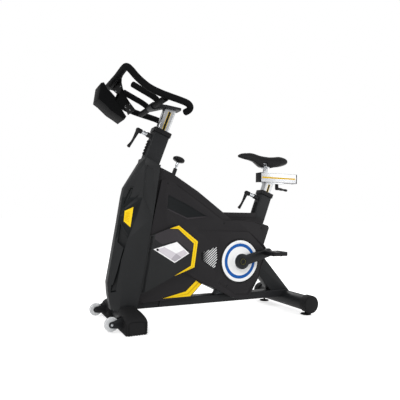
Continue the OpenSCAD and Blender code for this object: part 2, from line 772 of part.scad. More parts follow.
module rear_cover() color("#222325") difference() {
    slab(rear_outline, -rear_half, rear_half);
    translate([shell_wall, 0, -shell_wall])
        slab(rear_outline, shell_wall - rear_half, rear_half - shell_wall);
    lean_at(seat_top_x, seat_top_z) {
        post_box(seat_tube_d + 2 * seat_gap, 200, -400, 0);
        post_box(seat_tube_d + 20, 20, -160, 0);
    }
}

module fairing_left() difference() {
    slab(fairing_outline, shell_half, shell_half + fairing_t);
    translate([0, -shell_half + 1, 0]) rotate([90, 0, 0]) linear_extrude(fairing_t - shell_wall + 1)
        offset(delta = -shell_wall) polygon(fairing_outline);
}

module side_fairings() color("#2e3033") both_sides() fairing_left();

module badges() color("#e6e4ec") both_sides()
    slab(badge_outline, shell_half + fairing_t, shell_half + fairing_t + trim_t);

module yellow_trims() color("#ffd91a") both_sides() {
    slab(chevron_outline, shell_half + fairing_t, shell_half + fairing_t + trim_t);
    slab(stripe_outline, core_half, core_half + trim_t);
}

module cover_screws() color("#0d0d0d") both_sides() for (s = screw_spots)
    y_bar(s[0], s[1], 5, shell_half, shell_half + 1.5);

// ---- resistance ----

module knob_bush() color("#1a1a1b") lean_at(knob_x, knob_z) difference() {
    translate([0, 0, -118]) cylinder(r = bush_r, h = 68);
    translate([0, 0, -119]) cylinder(r = rod_r + pin_gap, h = 70);
}

module brake_rod() color("silver") lean_at(knob_x, knob_z) {
    translate([0, 0, -rod_len]) cylinder(r = rod_r, h = rod_len - 2);
    difference() {
        translate([0, 0, -38]) cylinder(r = 7.5, h = 23.5);
        translate([0, 0, -39]) cylinder(r = rod_r, h = 40);
    }
}

module knob() color("#101011") lean_at(knob_x, knob_z) difference() {
    rotate_extrude() polygon([[0, -14], [14, -14], [26, -10], [knob_r, -4], [knob_r, 4],
        [24, 11], [12, 14], [0, 15]]);
    translate([0, 0, -15]) cylinder(r = rod_r + pin_gap, h = 15);
}

module magnet_arm() color("dimgray") difference() {
    union() {
        translate([arm_pivot_x - 12, -magnet_y - 6, web_z]) cube([180, 2 * magnet_y + 12, 6]);
        for (side = [-1, 1]) translate([0, side * (magnet_y + 3), 0]) {
            translate([arm_pivot_x - 12, -3, web_z]) cube([24, 6, 26]);
            translate([arm_pivot_x + 70, -3, web_z - 60]) cube([96, 6, 62]);
        }
    }
    y_bar(arm_pivot_x, arm_pivot_z, stud_r + pin_gap, -60, 60);
    lean_at(knob_x, knob_z) cylinder(r = 14, h = 800, center = true);
}

// ---- handlebar ----

// children on the top of the handlebar slider, in the stem plate's frame
module on_stem() translate([post_top_x + stem_x, 0, post_top_z + stem_z])
    rotate([0, stem_tilt, 0]) children();

module handlebar_slider() color("#d4d6d8") difference() {
    lean_at(post_top_x, post_top_z) difference() {
        union() {
            round_box(bar_slide_d, bar_slide_w, 7, bar_slide_out - bar_slide_len, bar_slide_out + 40);
            translate([bar_slide_d / 2 - 1, 0, bar_slide_out - 10]) rotate([0, 90, 0])
                cylinder(r = 6, h = 4);
        }
        post_box(bar_slide_d - 8, bar_slide_w - 8, bar_slide_out - bar_slide_len - 1, bar_slide_out - 16);
    }
    on_stem() translate([-100, -50, 0]) cube([200, 100, 100]);
}

module handlebar_stem() color("#161617") difference() {
    union() {
        on_stem() round_box(92, 66, 8, 0, stem_t);
        hull() {
            on_stem() translate([-46, -30, 1]) cube([10, 60, stem_t - 2]);
            translate([bar_dx, 0, bar_dz]) y_bar(cross_x, cross_z, grip_r + 3, -30, 30);
        }
    }
    y_bar(bar_dx + cross_x, bar_dz + cross_z, grip_r - 1 + pin_gap, -100, 100);
}

module crossbar() color("#161617") translate([bar_dx, 0, bar_dz]) {
    y_bar(cross_x, cross_z, grip_r - 1, -grip_half + grip_r + 0.2, grip_half - grip_r - 0.2);
    for (side = [-1, 1]) {
        tip = [-180, side * aero_half, cross_z + 76];
        root = [cross_x, side * aero_half, cross_z + 4];
        bend = [-112, side * aero_half, cross_z + 38];
        sweep(smooth([root, bend, tip], 4), aero_r, 20, [0, 1, 0]);
        translate(tip) sphere(r = aero_r, $fn = 20);
        difference() {
            hull() {
                translate([-20, side * grip_half, 116]) sphere(r = 9, $fn = 20);
                translate([-160, side * grip_half, 158]) sphere(r = 9, $fn = 20);
                translate([-140, side * (aero_half + 12), 168]) sphere(r = 6, $fn = 20);
                translate([cross_x, side * (aero_half + 8), cross_z + 4]) sphere(r = 9, $fn = 20);
            }
            sweep([for (p = smooth(grip_route, 3)) [p[0], -side * p[1], p[2]]], grip_r + 0.3, 20,
                [0, 0.3, 1]);
            translate([-300, side > 0 ? grip_half : -grip_half - 40, 0]) cube([400, 40, 300]);
        }
    }
}

// route of the left outer tube, from the middle of the front bar round to its free end
grip_route = [[front_bar_x, 0, front_bar_z], [front_bar_x, 80 - grip_half, front_bar_z],
    [front_bar_x, 25 - grip_half, front_bar_z], [-243, 4 - grip_half, front_bar_z - 1],
    [-229, -grip_half, front_bar_z - 13], [-193, -grip_half, 181], [-144, -grip_half, 150],
    [-94, -grip_half, 133], [-40, -grip_half, 121], [10, -grip_half, 111], [46, 2 - grip_half, 102],
    [64, 11 - grip_half, 89], [64, 27 - grip_half, 77], [52, 41 - grip_half, 69]];

module outer_tube() {
    sweep(smooth(grip_route, 3), grip_r, 20, [0, 0.3, 1]);
    translate(grip_route[len(grip_route) - 1]) sphere(r = grip_r - 0.4, $fn = 20);
}

module handlebar_left() color("#161617") translate([bar_dx, 0, bar_dz]) outer_tube();
module handlebar_right() color("#161617") translate([bar_dx, 0, bar_dz])
    mirror([0, 1, 0]) outer_tube();

// half outline of the front panel: distance down the panel, half width
panel_half = [[18, 176], [32, 140], [38, 100], [52, 72], [76, 50], [112, 38], [140, 41], [165, 51],
    [panel_len, 60]];

module in_panel_frame() translate([bar_dx + panel_x, 0, bar_dz + panel_z])
    rotate([0, panel_drop, 0]) children();

module front_panel() color("#1d1e1f") difference() {
    in_panel_frame() translate([0, 0, -panel_t]) linear_extrude(panel_t)
        polygon(concat(panel_half, [for (i = [len(panel_half) - 1 : -1 : 0])
            [panel_half[i][0], -panel_half[i][1]]]));
    translate([bar_dx, 0, bar_dz]) y_bar(front_bar_x, front_bar_z, grip_r + 0.3, -300, 300);
}

holder_outline = [[-326, 182], [-336, 107], [-313, 92], [-273, 58], [-240, 40], [-213, 24],
    [-203, 40], [-224, 70], [-296, 160], [-312, 187]];
holder_half = 60;

// a box open at its top and back, on two arms that reach the front panel
module holder() color("#1a1a1b") translate([bar_dx, 0, bar_dz]) difference() {
    union() {
        difference() {
            translate([0, holder_half, 0]) slab(holder_outline, 0, 2 * holder_half);
            translate([10, holder_half - shell_wall, 12])
                slab(holder_outline, 0, 2 * (holder_half - shell_wall));
        }
        for (side = [-1, 1]) translate([0, side * 40 + 3, 0])
            slab([[-262, 62], [-238, 50], [-180, 138], [-214, 204]], 0, 6);
    }
    translate([-bar_dx, 0, -bar_dz]) in_panel_frame()
        translate([-100, -100, -panel_t]) cube([400, 200, 200]);
}

// ---- saddle ----

module seat_slider() color("#d4d6d8") difference() {
    union() {
        difference() {
            lean_at(seat_top_x, seat_top_z)
                round_box(seat_slide_d, seat_slide_w, 7, -280, 100);
            lean_at(seat_top_x, seat_top_z)
                post_box(seat_slide_d - 8, seat_slide_w - 8, -281, 30);
            translate([head_x0 - 100, -50, rail_z - run_gap]) cube([400, 100, 200]);
        }
        translate([head_x0 - 4, -22, head_z0]) cube([head_x1 - head_x0 + 8, 44, 8 - run_gap]);
        translate([head_x0, -rail_slot_w / 2 + run_gap, head_z0]) cube(
            [head_x1 - head_x0, rail_slot_w - 2 * run_gap, 8 + rail_wall + 4]);
        translate([head_x0, -rail_w / 2 + rail_wall + run_gap, rail_z + rail_wall + run_gap]) cube(
            [head_x1 - head_x0, rail_w - 2 * rail_wall - 2 * run_gap, 20]);
    }
    translate([clamp_x, 0, head_z0 - 1]) cylinder(r = stud_r + pin_gap, h = 60);
}

module saddle_rail() color("#d9dbdd") difference() {
    translate([rail_x, -rail_w / 2, rail_z]) cube([rail_len, rail_w, rail_h]);
    translate([rail_x - 1, -rail_w / 2 + rail_wall, rail_z + rail_wall])
        cube([rail_len + 2, rail_w - 2 * rail_wall, rail_h - 2 * rail_wall]);
    translate([rail_x - 1, -rail_slot_w / 2, rail_z - 1]) cube([rail_len + 2, rail_slot_w, 10]);
}

// plug and face of a rail cap, with the face on the outside
module rail_cap(len) {
    translate([-len, -rail_w / 2 - 1.5, -1]) cube([len, rail_w + 3, rail_h + 2]);
    translate([-1, -rail_w / 2 + rail_wall, rail_wall])
        cube([11, rail_w - 2 * rail_wall, rail_h - 2 * rail_wall]);
}

module rail_caps() color("#161617") {
    translate([rail_x, 0, rail_z]) rail_cap(cap_len);
    translate([rail_end, 0, rail_z]) mirror([1, 0, 0]) rail_cap(x_rear - rail_end);
}

module saddle_pin() color("#cfd1d3") difference() {
    union() {
        translate([pin_x - 26, -18, rail_z + rail_h]) cube([52, 36, 5]);
        translate([pin_x, 0, rail_z + rail_h + 5]) cylinder(r = 13, h = tilt_z - rail_z - rail_h - 5);
        translate([pin_x - 18, -15, tilt_z - 14]) cube([36, 30, 14]);
    }
    y_bar(pin_x, tilt_z, 14 + run_gap, -60, 60);
}

// clamp barrel with the two saddle wires
module saddle_clamp() color("#3a3b3d") {
    y_bar(pin_x, tilt_z, 14, -27, 27);
    for (side = [-1, 1]) translate([pin_x, 0, tilt_z]) sweep(smooth([[-80, side * 13, 24.8],
        [-62, side * 16, 19], [-40, side * 20, 13], [0, side * 22, 10.5], [45, side * 24, 11.5],
        [76, side * 26, 14.2]], 3), 3.5, 10, [0, 1, 0]);
}

// soft saddle: nose, waist and two cheeks, in a frame with its origin on the tilt axis
module saddle() color("#1b1b1c") translate([pin_x, 0, tilt_z]) difference() {
    union() {
        hull() {
            translate([-166, 0, 46]) scale([0.9, 1, 0.6]) sphere(r = 15, $fn = 32);
            translate([-110, 0, 46]) scale([1, 1, 0.72]) sphere(r = 24, $fn = 32);
            translate([-30, 0, 39]) scale([1, 1, 0.5]) sphere(r = 32, $fn = 32);
        }
        hull() {
            translate([-30, 0, 38]) scale([1, 1, 0.5]) sphere(r = 32, $fn = 32);
            for (side = [-1, 1]) translate([66, side * 46, 22.6])
                scale([1.18, 0.82, 0.66]) sphere(r = 40, $fn = 32);
        }
    }
    translate([-60, -31, -40]) cube([148, 62, 58]);
}

// ---- levers ----

// clamp lever of a post, in the post's frame; the stud reaches in towards the slider
module post_clamp(d, slide_d, out) translate([0, 0, -lever_drop]) {
    hub_x = -d / 2 - out - run_gap;
    color("silver") {
        translate([hub_x, 0, 0]) rotate([0, 90, 0])
            cylinder(r = stud_r, h = -hub_x - slide_d / 2 - 0.8);
        translate([hub_x - hub_len, 0, 0]) rotate([0, 90, 0]) cylinder(r = hub_r, h = hub_len);
    }
    color("#161617") translate([hub_x - hub_len - lever_head_len, 0, 0]) rotate([0, 90, 0])
        cylinder(r = lever_head_r, h = lever_head_len, $fn = 32);
    color("#161617") hull() {
        translate([hub_x - hub_len - lever_head_len + 11, 0, 0]) sphere(r = 10.5, $fn = 32);
        translate([hub_x - hub_len - lever_head_len - lever_tip_out + 8, 0, -lever_len])
            sphere(r = 8, $fn = 32);
    }
}

module post_lever() lean_at(post_top_x, post_top_z) post_clamp(post_d, bar_slide_d, boss_out);
module seat_lever() lean_at(seat_top_x, seat_top_z)
    post_clamp(seat_tube_d, seat_slide_d, seat_boss_out);

module rail_lever() translate([clamp_x, 0, head_z0]) {
    color("silver") translate([0, 0, -4]) cylinder(r = stud_r, h = 34);
    color("#161617") translate([0, 0, -18]) cylinder(r = 10, h = 18 - run_gap);
    color("#161617") hull() {
        translate([0, 0, -24]) sphere(r = 10, $fn = 32);
        translate([70, 0, -33]) sphere(r = 8, $fn = 32);
    }
}

base_beam();
front_stabilizer();
rear_stabilizer();
front_boots();
rear_caps();
wheel_brackets();
front_upright();
front_post();
seat_tube();
post_collars();
stop_strips();
rear_leg();
bottom_bracket();
bearings();
flywheel_brackets();
shell_left();
shell_right();
front_cover();
rear_cover();
side_fairings();
badges();
yellow_trims();
cover_screws();
knob_bush();
drive_belt();
crank_spindle();
drive_pulley();
disc_covers();
crank_left();
crank_right();
crank_caps();
pedal_spindles();
pedal_left();
pedal_right();
flywheel();
flywheel_axle();
idler_wheel();
transport_wheel_left();
transport_wheel_right();
foot_left();
foot_right();
handlebar_slider();
handlebar_stem();
crossbar();
handlebar_left();
handlebar_right();
front_panel();
holder();
seat_slider();
saddle_rail();
rail_caps();
saddle_pin();
saddle_clamp();
saddle();
post_lever();
seat_lever();
rail_lever();
knob();
brake_rod();
magnet_arm();
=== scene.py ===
"""Looks of an indoor spin bike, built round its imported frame. Front is -X, rider's left is -Y, metres."""
import math

import bmesh
import bpy
from mathutils import Matrix, Vector
from mathutils.bvhtree import BVHTree


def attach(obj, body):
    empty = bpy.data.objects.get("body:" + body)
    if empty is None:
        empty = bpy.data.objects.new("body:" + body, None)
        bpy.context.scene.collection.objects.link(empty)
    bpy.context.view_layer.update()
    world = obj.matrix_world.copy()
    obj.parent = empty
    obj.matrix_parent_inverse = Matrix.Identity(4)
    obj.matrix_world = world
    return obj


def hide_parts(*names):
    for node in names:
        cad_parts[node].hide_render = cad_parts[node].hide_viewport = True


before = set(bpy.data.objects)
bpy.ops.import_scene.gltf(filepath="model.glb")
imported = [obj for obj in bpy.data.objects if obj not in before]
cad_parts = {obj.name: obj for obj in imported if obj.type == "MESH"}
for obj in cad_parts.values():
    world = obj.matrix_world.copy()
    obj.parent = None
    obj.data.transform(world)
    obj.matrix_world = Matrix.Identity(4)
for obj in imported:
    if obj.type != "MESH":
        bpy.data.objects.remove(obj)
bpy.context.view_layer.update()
scene = bpy.context.scene
scene.view_settings.view_transform = "Standard"
MM = 0.001

# ---- camera ----

YAW, PITCH, ROLL = math.radians(25.93), math.radians(1.91), math.radians(0.92)
LOOK = Vector((math.sin(YAW) * math.cos(PITCH), math.cos(YAW) * math.cos(PITCH), math.sin(PITCH)))
level = Vector((math.cos(YAW), -math.sin(YAW), 0))
upright = level.cross(LOOK)
right = math.cos(ROLL) * level + math.sin(ROLL) * upright
above = math.cos(ROLL) * upright - math.sin(ROLL) * level
camera = bpy.data.objects.new("camera", bpy.data.cameras.new("camera"))
camera.data.lens = 37.87
camera.data.clip_end = 60
camera.matrix_world = Matrix((right, above, -LOOK)).transposed().to_4x4()
camera.location = (-0.99305, -1.97933, 0.52572)
scene.collection.objects.link(camera)
scene.camera = camera

# ---- sizes shared by the pieces, in millimetres ----

SIDES = ((-1, "left"), (1, "right"))
LEAN = math.radians(20)
X_FRONT = -584
POST_TOP, SEAT_TOP = (-252, 938), (377, 653)
BAR = (-248, 938)
CRANK = (169, 283)
CRANK_LENGTH, CRANK_TURN = 170, math.radians(14.7)
# outer faces of the side covers and of the raised fairings
SIDE_Y, FAIRING_Y = 78, 96
TILT = (377, 803)
KNOB = (-155, 802)
# stations of the front cover: height, then how far behind X_FRONT its middle strip, facet and edge lie
COVER_ROWS = [[72, 90, 122, 196], [100, 84, 123, 201], [150, 74, 126, 210], [200, 70, 131, 220],
              [400, 102, 150, 250], [510, 119, 194, 266], [600, 132, 220, 278], [645, 141, 222, 284],
              [760, 210, 226, 300], [795, 232, 234, 304]]

# ---- materials ----


def srgb(code, alpha=1.0):
    """sRGB hex to the linear values that Blender's sockets take."""
    parts = [int(code[i:i + 2], 16) / 255 for i in (1, 3, 5)]
    return (*[c / 12.92 if c <= 0.04045 else ((c + 0.055) / 1.055) ** 2.4 for c in parts], alpha)


def add_node(tree, kind, settings=None, values=None, links=None):
    """Adds a node. links gives input: (node, its output)."""
    made = tree.nodes.new(kind)
    for key, value in (settings or {}).items():
        setattr(made, key, value)
    for key, value in (values or {}).items():
        made.inputs[key].default_value = value
    for key, (source, output) in (links or {}).items():
        tree.links.new(source.outputs[output], made.inputs[key])
    return made


def new_material(name, values):
    """Principled material with its constant values on the shader."""
    mat = bpy.data.materials.new(name)
    mat.use_nodes = True
    shader = mat.node_tree.nodes["Principled BSDF"]
    for key, value in values.items():
        shader.inputs[key].default_value = value
    return mat, mat.node_tree, shader


def noise(tree, scale, detail, vector):
    """Noise over a coordinate given as (node, its output)."""
    return add_node(tree, "ShaderNodeTexNoise", {}, {"Scale": scale, "Detail": detail}, {"Vector": vector})


def texture(tree, shader, tones, drift, grit, roughness, relief):
    """Colour between two tones by one noise. Roughness and relief (metres, strength) by another."""
    tone = add_node(tree, "ShaderNodeMix", {"data_type": "RGBA"},
                    {6: srgb(tones[0]), 7: srgb(tones[1])}, {0: (drift, "Fac")})
    shine = add_node(tree, "ShaderNodeMapRange", {},
                     {"To Min": roughness[0], "To Max": roughness[1]}, {"Value": (grit, "Fac")})
    bump = add_node(tree, "ShaderNodeBump", {},
                    {"Distance": relief[0], "Strength": relief[1]}, {"Height": (grit, "Fac")})
    tree.links.new(tone.outputs[2], shader.inputs["Base Color"])
    tree.links.new(shine.outputs["Result"], shader.inputs["Roughness"])
    tree.links.new(bump.outputs["Normal"], shader.inputs["Normal"])


CLOUD_SIZE, LINE_LENGTH = 0.09, 0.12


def grain(name, colour, darker, grit_mm, depth_mm, rough, spread=0.06, **values):
    """Surface with a fine grain: colour drifts a little between two tones, and the grit is a bump."""
    values.setdefault("Specular IOR Level", 0.17)
    mat, tree, shader = new_material(name, values)
    place = (add_node(tree, "ShaderNodeTexCoord"), "Object")
    cloud, grit = noise(tree, 1 / CLOUD_SIZE, 3.0, place), noise(tree, 1 / (grit_mm * MM), 2.0, place)
    texture(tree, shader, (colour, darker), cloud, grit, (rough - spread, rough + spread),
            (depth_mm * MM, 0.6))
    return mat


def enamel(name, colour, darker, rough):
    """Paint, print or gloss plastic with hardly any grain."""
    return grain(name, colour, darker, 3.0, 0.01, rough, 0.03)


def brushed(name, colour, darker, line_mm, rough, along):
    """Metal with fine drawn lines along one axis."""
    mat, tree, shader = new_material(name, {"Metallic": 1.0})
    stretch = [1 / (line_mm * MM)] * 3
    stretch["XYZ".index(along)] = 1 / LINE_LENGTH
    place = add_node(tree, "ShaderNodeTexCoord")
    squeeze = add_node(tree, "ShaderNodeMapping", {}, {"Scale": stretch}, {"Vector": (place, "Object")})
    lines = noise(tree, 1.0, 2.0, (squeeze, "Vector"))
    texture(tree, shader, (colour, darker), lines, lines, (rough - 0.05, rough + 0.08), (0.00004, 0.4))
    return mat


# satin powder coat on steel: a slight orange peel, about 1.5 mm between its dimples
powder_coat = grain("powder_coat", "#242527", "#1e1f20", 1.5, 0.05, 0.46)
# grey primer on steel that the covers hide
primer = grain("grey_primer", "#5a5d60", "#4d5053", 2.0, 0.05, 0.6)
# ABS moulded in a spark-eroded tool: matte charcoal with a grain near 0.8 mm
moulded_abs = grain("moulded_abs", "#222022", "#1c1b1d", 0.8, 0.05, 0.5)
# the same ABS, a shade lighter, on the front cover
front_abs = grain("front_abs", "#242526", "#1f2021", 0.8, 0.05, 0.48)
# the sunk panels are a colder, smoother tone, made darker as painted shade of their recesses
sunk_abs_with_shade = grain("sunk_abs_with_shade", "#0d1113", "#0a0d0f", 0.8, 0.04, 0.42)
# painted highlight: a lighter copy of the ABS on the facets of the raised fairings and on the upward walls of
# the window recess, where light falls on them
facet_abs_highlight = grain("facet_abs_highlight", "#3a373a", "#343134", 0.8, 0.04, 0.46)
# black nylon of collars, levers and knob: finer and a little glossier
black_nylon = grain("black_nylon", "#18181a", "#101011", 0.5, 0.03, 0.38)
# boots and feet in moulded rubber: dull, with a coarser tooth
moulded_rubber = grain("moulded_rubber", "#1e1e1f", "#161617", 1.2, 0.08, 0.75)
# dipped vinyl on the bars: dull skin with a pebble of about 1 mm
bar_vinyl = grain("bar_vinyl", "#151516", "#101011", 1.0, 0.08, 0.5, **{"Specular IOR Level": 0.03})
# gloss yellow enamel, and a darker amber copy of it that is painted shade on the inner slopes of the chevrons
# and stripes; the louvres and the rail's amber line take it too
yellow_enamel = enamel("yellow_enamel", "#ffd91a", "#fbd00f", 0.3)
amber_enamel_and_shade = enamel("amber_enamel_and_shade", "#e3ba10", "#dbb00d", 0.32)
# dull brass-coloured print on the crank caps
ring_brass = grain("ring_brass", "#7d7a2c", "#6d6a26", 1.0, 0.01, 0.4)
# painted badge plate: white top facet; its pale lilac-grey sides are darker copies of the white, as painted
# shade
badge_white = enamel("badge_white", "#ffffff", "#fbfafc", 0.32)
badge_lilac_shade = enamel("badge_lilac_shade", "#dad5db", "#d3ced5", 0.32)
badge_grey_shade = enamel("badge_grey_shade", "#b9b4bb", "#b2adb5", 0.32)
# gloss ABS disc and its printed blue band
disc_white = enamel("disc_white", "#ffffff", "#fafbfc", 0.28)
disc_blue = enamel("disc_blue", "#0a5cb0", "#0a55a4", 0.3)
# faint blue printed line on the rail
pale_blue = enamel("pale_blue", "#b9c4dc", "#aebad4", 0.3)
# dark blue line printed along the yellow bands
ink_blue = enamel("ink_blue", "#1b2140", "#161b36", 0.4)
# black ABS of the front panel and tray, with a satin grain
panel_abs = grain("panel_abs", "#131414", "#0e0e0f", 0.9, 0.05, 0.46, **{"Specular IOR Level": 0.02})
# drawn aluminium tube, polished, with lines along its length
polished_alloy = brushed("polished_alloy", "#cbccce", "#b6b8ba", 0.7, 0.26, "Z")
polished_rail = brushed("polished_rail", "#cdcecf", "#c0c1c3", 0.7, 0.3, "X")
# painted dark reflection: a dark line on the eased corners of the extrusions, standing in for the dark they
# reflect
edge_dark_reflection = grain("edge_dark_reflection", "#34373b", "#2c2f33", 1.0, 0.01, 0.4)
# turned steel of shafts and barrels
turned_steel = brushed("turned_steel", "#c3c5c8", "#aeb1b4", 0.6, 0.25, "Y")
# ground cast iron of the flywheel
cast_iron = brushed("cast_iron", "#6a6c70", "#55575b", 1.0, 0.42, "Y")
# ribbed rubber belt
belt_rubber = grain("belt_rubber", "#161617", "#101011", 1.0, 0.06, 0.7)
# black anodised crank
anodised_black = grain("anodised_black", "#2a2b2c", "#222324", 0.4, 0.02, 0.36, **{"Metallic": 0.35})
# clear grey polyurethane wheels
soft_wheel = grain("soft_wheel", "#f2f3f4", "#e6e8ea", 1.5, 0.02, 0.35, 0.05,
                   **{"Transmission Weight": 0.35, "IOR": 1.5})
# slats of the side vents: pale at the back, fading to black towards the front
slat_grey = grain("slat_grey", "#ffffff", "#f4f5f6", 2.0, 0.02, 0.4)
tree = slat_grey.node_tree
where = add_node(tree, "ShaderNodeTexCoord")
across = add_node(tree, "ShaderNodeSeparateXYZ", {}, {}, {"Vector": (where, "Object")})
fade = add_node(tree, "ShaderNodeMapRange", {}, {"From Min": -0.046, "From Max": -0.012},
                {"Value": (across, "X")})
fade_to_black = add_node(tree, "ShaderNodeMix", {"data_type": "RGBA"}, {6: srgb("#141415")},
                {0: (fade, "Result")})
colour = tree.nodes["Principled BSDF"].inputs["Base Color"]
tree.links.new(colour.links[0].from_socket, fade_to_black.inputs[7])
tree.links.new(fade_to_black.outputs[2], colour)
# synthetic saddle leather: pebbled, near 1.4 mm
saddle_leather = grain("saddle_leather", "#1e1e1f", "#151516", 1.4, 0.12, 0.48)

# ---- mesh helpers: bmeshes are in millimetres ----


def to_object(bm, name, scale=MM):
    """Linked object from a bmesh."""
    for v in bm.verts:
        v.co *= scale
    mesh = bpy.data.meshes.new(name)
    bm.to_mesh(mesh)
    bm.free()
    made = bpy.data.objects.new(name, mesh)
    scene.collection.objects.link(made)
    return made


def finish_piece(piece, mat, body, replaces=(), smooth=32):
    """Gives a piece its body and one material or a list of them."""
    for one in mat if isinstance(mat, list) else [mat]:
        piece.data.materials.append(one)
    for poly in piece.data.polygons:
        poly.use_smooth = True
    piece.data.set_sharp_from_angle(angle=math.radians(smooth))
    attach(piece, body)
    if replaces:
        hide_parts(*replaces)
    return piece


def make_piece(name, bm, mat, body, replaces=(), smooth=32):
    """Turns a bmesh into a piece."""
    bmesh.ops.recalc_face_normals(bm, faces=bm.faces)
    return finish_piece(to_object(bm, name), mat, body, replaces, smooth)


def on_left(side, node):
    """A CAD node that holds both sides is replaced by the left piece."""
    return [node] if side < 0 else []


def apply_modifiers(piece):
    """Bakes a piece's modifiers into its mesh."""
    graph = bpy.context.evaluated_depsgraph_get()
    graph.update()
    baked = bpy.data.meshes.new_from_object(piece.evaluated_get(graph))
    piece.modifiers.clear()
    old, piece.data = piece.data, baked
    bpy.data.meshes.remove(old)


def skin(bm, rows, closed=False):
    """Faces between neighbouring loops of points. Closed joins the last loop to the first, with no ends."""
    rows = [[bm.verts.new(p) for p in row] for row in rows]
    count = len(rows[0])
    for a, b in zip(rows, rows[1:] + (rows[:1] if closed else [])):
        for k in range(count):
            j = (k + 1) % count
            bm.faces.new((a[k], a[j], b[j], b[k]))
    if not closed:
        bm.faces.new(rows[0][::-1])
        bm.faces.new(rows[-1])
    return bm


def prism(near, far, bm=None):
    """Closed solid between two loops of the same number of points."""
    bm = bmesh.new() if bm is None else bm
    a, b = [[bm.verts.new(p) for p in loop] for loop in (near, far)]
    bm.faces.new(a)
    bm.faces.new(b[::-1])
    for i in range(len(a)):
        j = (i + 1) % len(a)
        bm.faces.new((a[i], b[i], b[j], a[j]))
    bmesh.ops.recalc_face_normals(bm, faces=bm.faces)
    return bm


def flat(outline, y, origin=(0, 0)):
    """Points of an X-Z outline from an origin, at a distance from the middle plane."""
    return [(origin[0] + x, y, origin[1] + z) for x, z in outline]


def side_prism(outline, y0, y1, side=1, origin=(0, 0), bm=None):
    """X-Z outline between two distances from the middle plane, on one side (-1 is left)."""
    return prism(flat(outline, side * y0, origin), flat(outline, side * y1, origin), bm)


def carve(piece, adds=(), cuts=()):
    """Joins and cuts a piece with solids given as bmeshes. It stays whole if the solver leaves nothing."""
    whole = piece.data.copy()
    tools = []
    for kind, group in (("UNION", adds), ("DIFFERENCE", cuts)):
        for bm in group:
            tools.append(to_object(bm, "tool"))
            mod = piece.modifiers.new("carve", "BOOLEAN")
            mod.operation = kind
            mod.solver = "EXACT"
            mod.object = tools[-1]
    apply_modifiers(piece)
    if not piece.data.polygons:
        piece.data = whole
    for tool in tools:
        bpy.data.objects.remove(tool, do_unlink=True)


def frame_copy(name, nodes):
    """Copy of CAD nodes as one welded mesh."""
    bm = bmesh.new()
    for node in nodes:
        bm.from_mesh(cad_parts[node].data)
    bmesh.ops.remove_doubles(bm, verts=bm.verts, dist=0.00001)
    bmesh.ops.dissolve_limit(bm, angle_limit=math.radians(0.6), verts=bm.verts, edges=bm.edges)
    return to_object(bm, name, 1)


def round_edges(piece, width_mm, segments=2, angle=28):
    """Bevels the edges that turn by more than an angle."""
    mod = piece.modifiers.new("edge", "BEVEL")
    mod.width = width_mm * MM
    mod.segments = segments
    mod.limit_method = "ANGLE"
    mod.angle_limit = math.radians(angle)
    mod.miter_outer = "MITER_ARC"
    apply_modifiers(piece)


def eased(name, nodes, mat, body, width_mm, segments=2):
    """CAD nodes with their sharp edges eased, as moulded and welded pieces have."""
    piece = frame_copy(name, nodes)
    round_edges(piece, width_mm, segments)
    return finish_piece(piece, mat, body, nodes, 40)


def leaned(origin, point):
    """Point (depth, side, height) of a leaning post's own frame, with its origin at (x, z)."""
    u, v, w = point
    return (origin[0] + u * math.cos(LEAN) + w * math.sin(LEAN), v,
            origin[1] - u * math.sin(LEAN) + w * math.cos(LEAN))


def spline(points, steps):
    """Catmull-Rom curve through points."""
    out = []
    last = len(points) - 1
    for i in range(last):
        p = [Vector(points[min(max(i + k, 0), last)]) for k in (-1, 0, 1, 2)]
        for k in range(steps):
            t = k / steps
            out.append(0.5 * (2 * p[1] + (p[2] - p[0]) * t + (2 * p[0] - 5 * p[1] + 4 * p[2] - p[3]) * t * t
                              + (3 * p[1] - p[0] - 3 * p[2] + p[3]) * t ** 3))
    out.append(Vector(points[last]))
    return out


def circle(radius, height=0, steps=48):
    """Points round the local Z axis."""
    return [Vector((radius * math.cos(k * math.tau / steps), radius * math.sin(k * math.tau / steps), height))
            for k in range(steps)]


def arc(radius, start, end, steps, centre=(0, 0)):
    """Points along an arc, with its angles in degrees."""
    angles = [math.radians(start + (end - start) * k / steps) for k in range(steps + 1)]
    return [(centre[0] + radius * math.cos(a), centre[1] + radius * math.sin(a)) for a in angles]


def tube(bm, path, radius, sides, hint=(0, 0.3, 1), domes=(True, True)):
    """Round bar along a path. radius is a number or a function of 0..1. domes says which ends have one."""
    path = [Vector(p) for p in path]
    last = len(path) - 1
    rings = []
    for i, p in enumerate(path):
        ahead = (path[min(i + 1, last)] - path[max(i - 1, 0)]).normalized()
        u = Vector(hint).cross(ahead).normalized()
        rings.append((p, ahead, u, ahead.cross(u), radius(i / last) if callable(radius) else radius))
    full = [(p, u, v, r) for p, ahead, u, v, r in rings]
    for end, way in ((0, -1), (-1, 1)):
        p, ahead, u, v, r = rings[end]
        dome = [(p + ahead * (way * r * 0.6 * math.sin(a)), u, v, r * math.cos(a))
                for a in (0.35, 0.7, 1.05, 1.35)]
        if domes[end]:
            full = dome[::-1] + full if way < 0 else full + dome
    return skin(bm, [[p + c.x * u + c.y * v for c in circle(r, 0, sides)] for p, u, v, r in full])


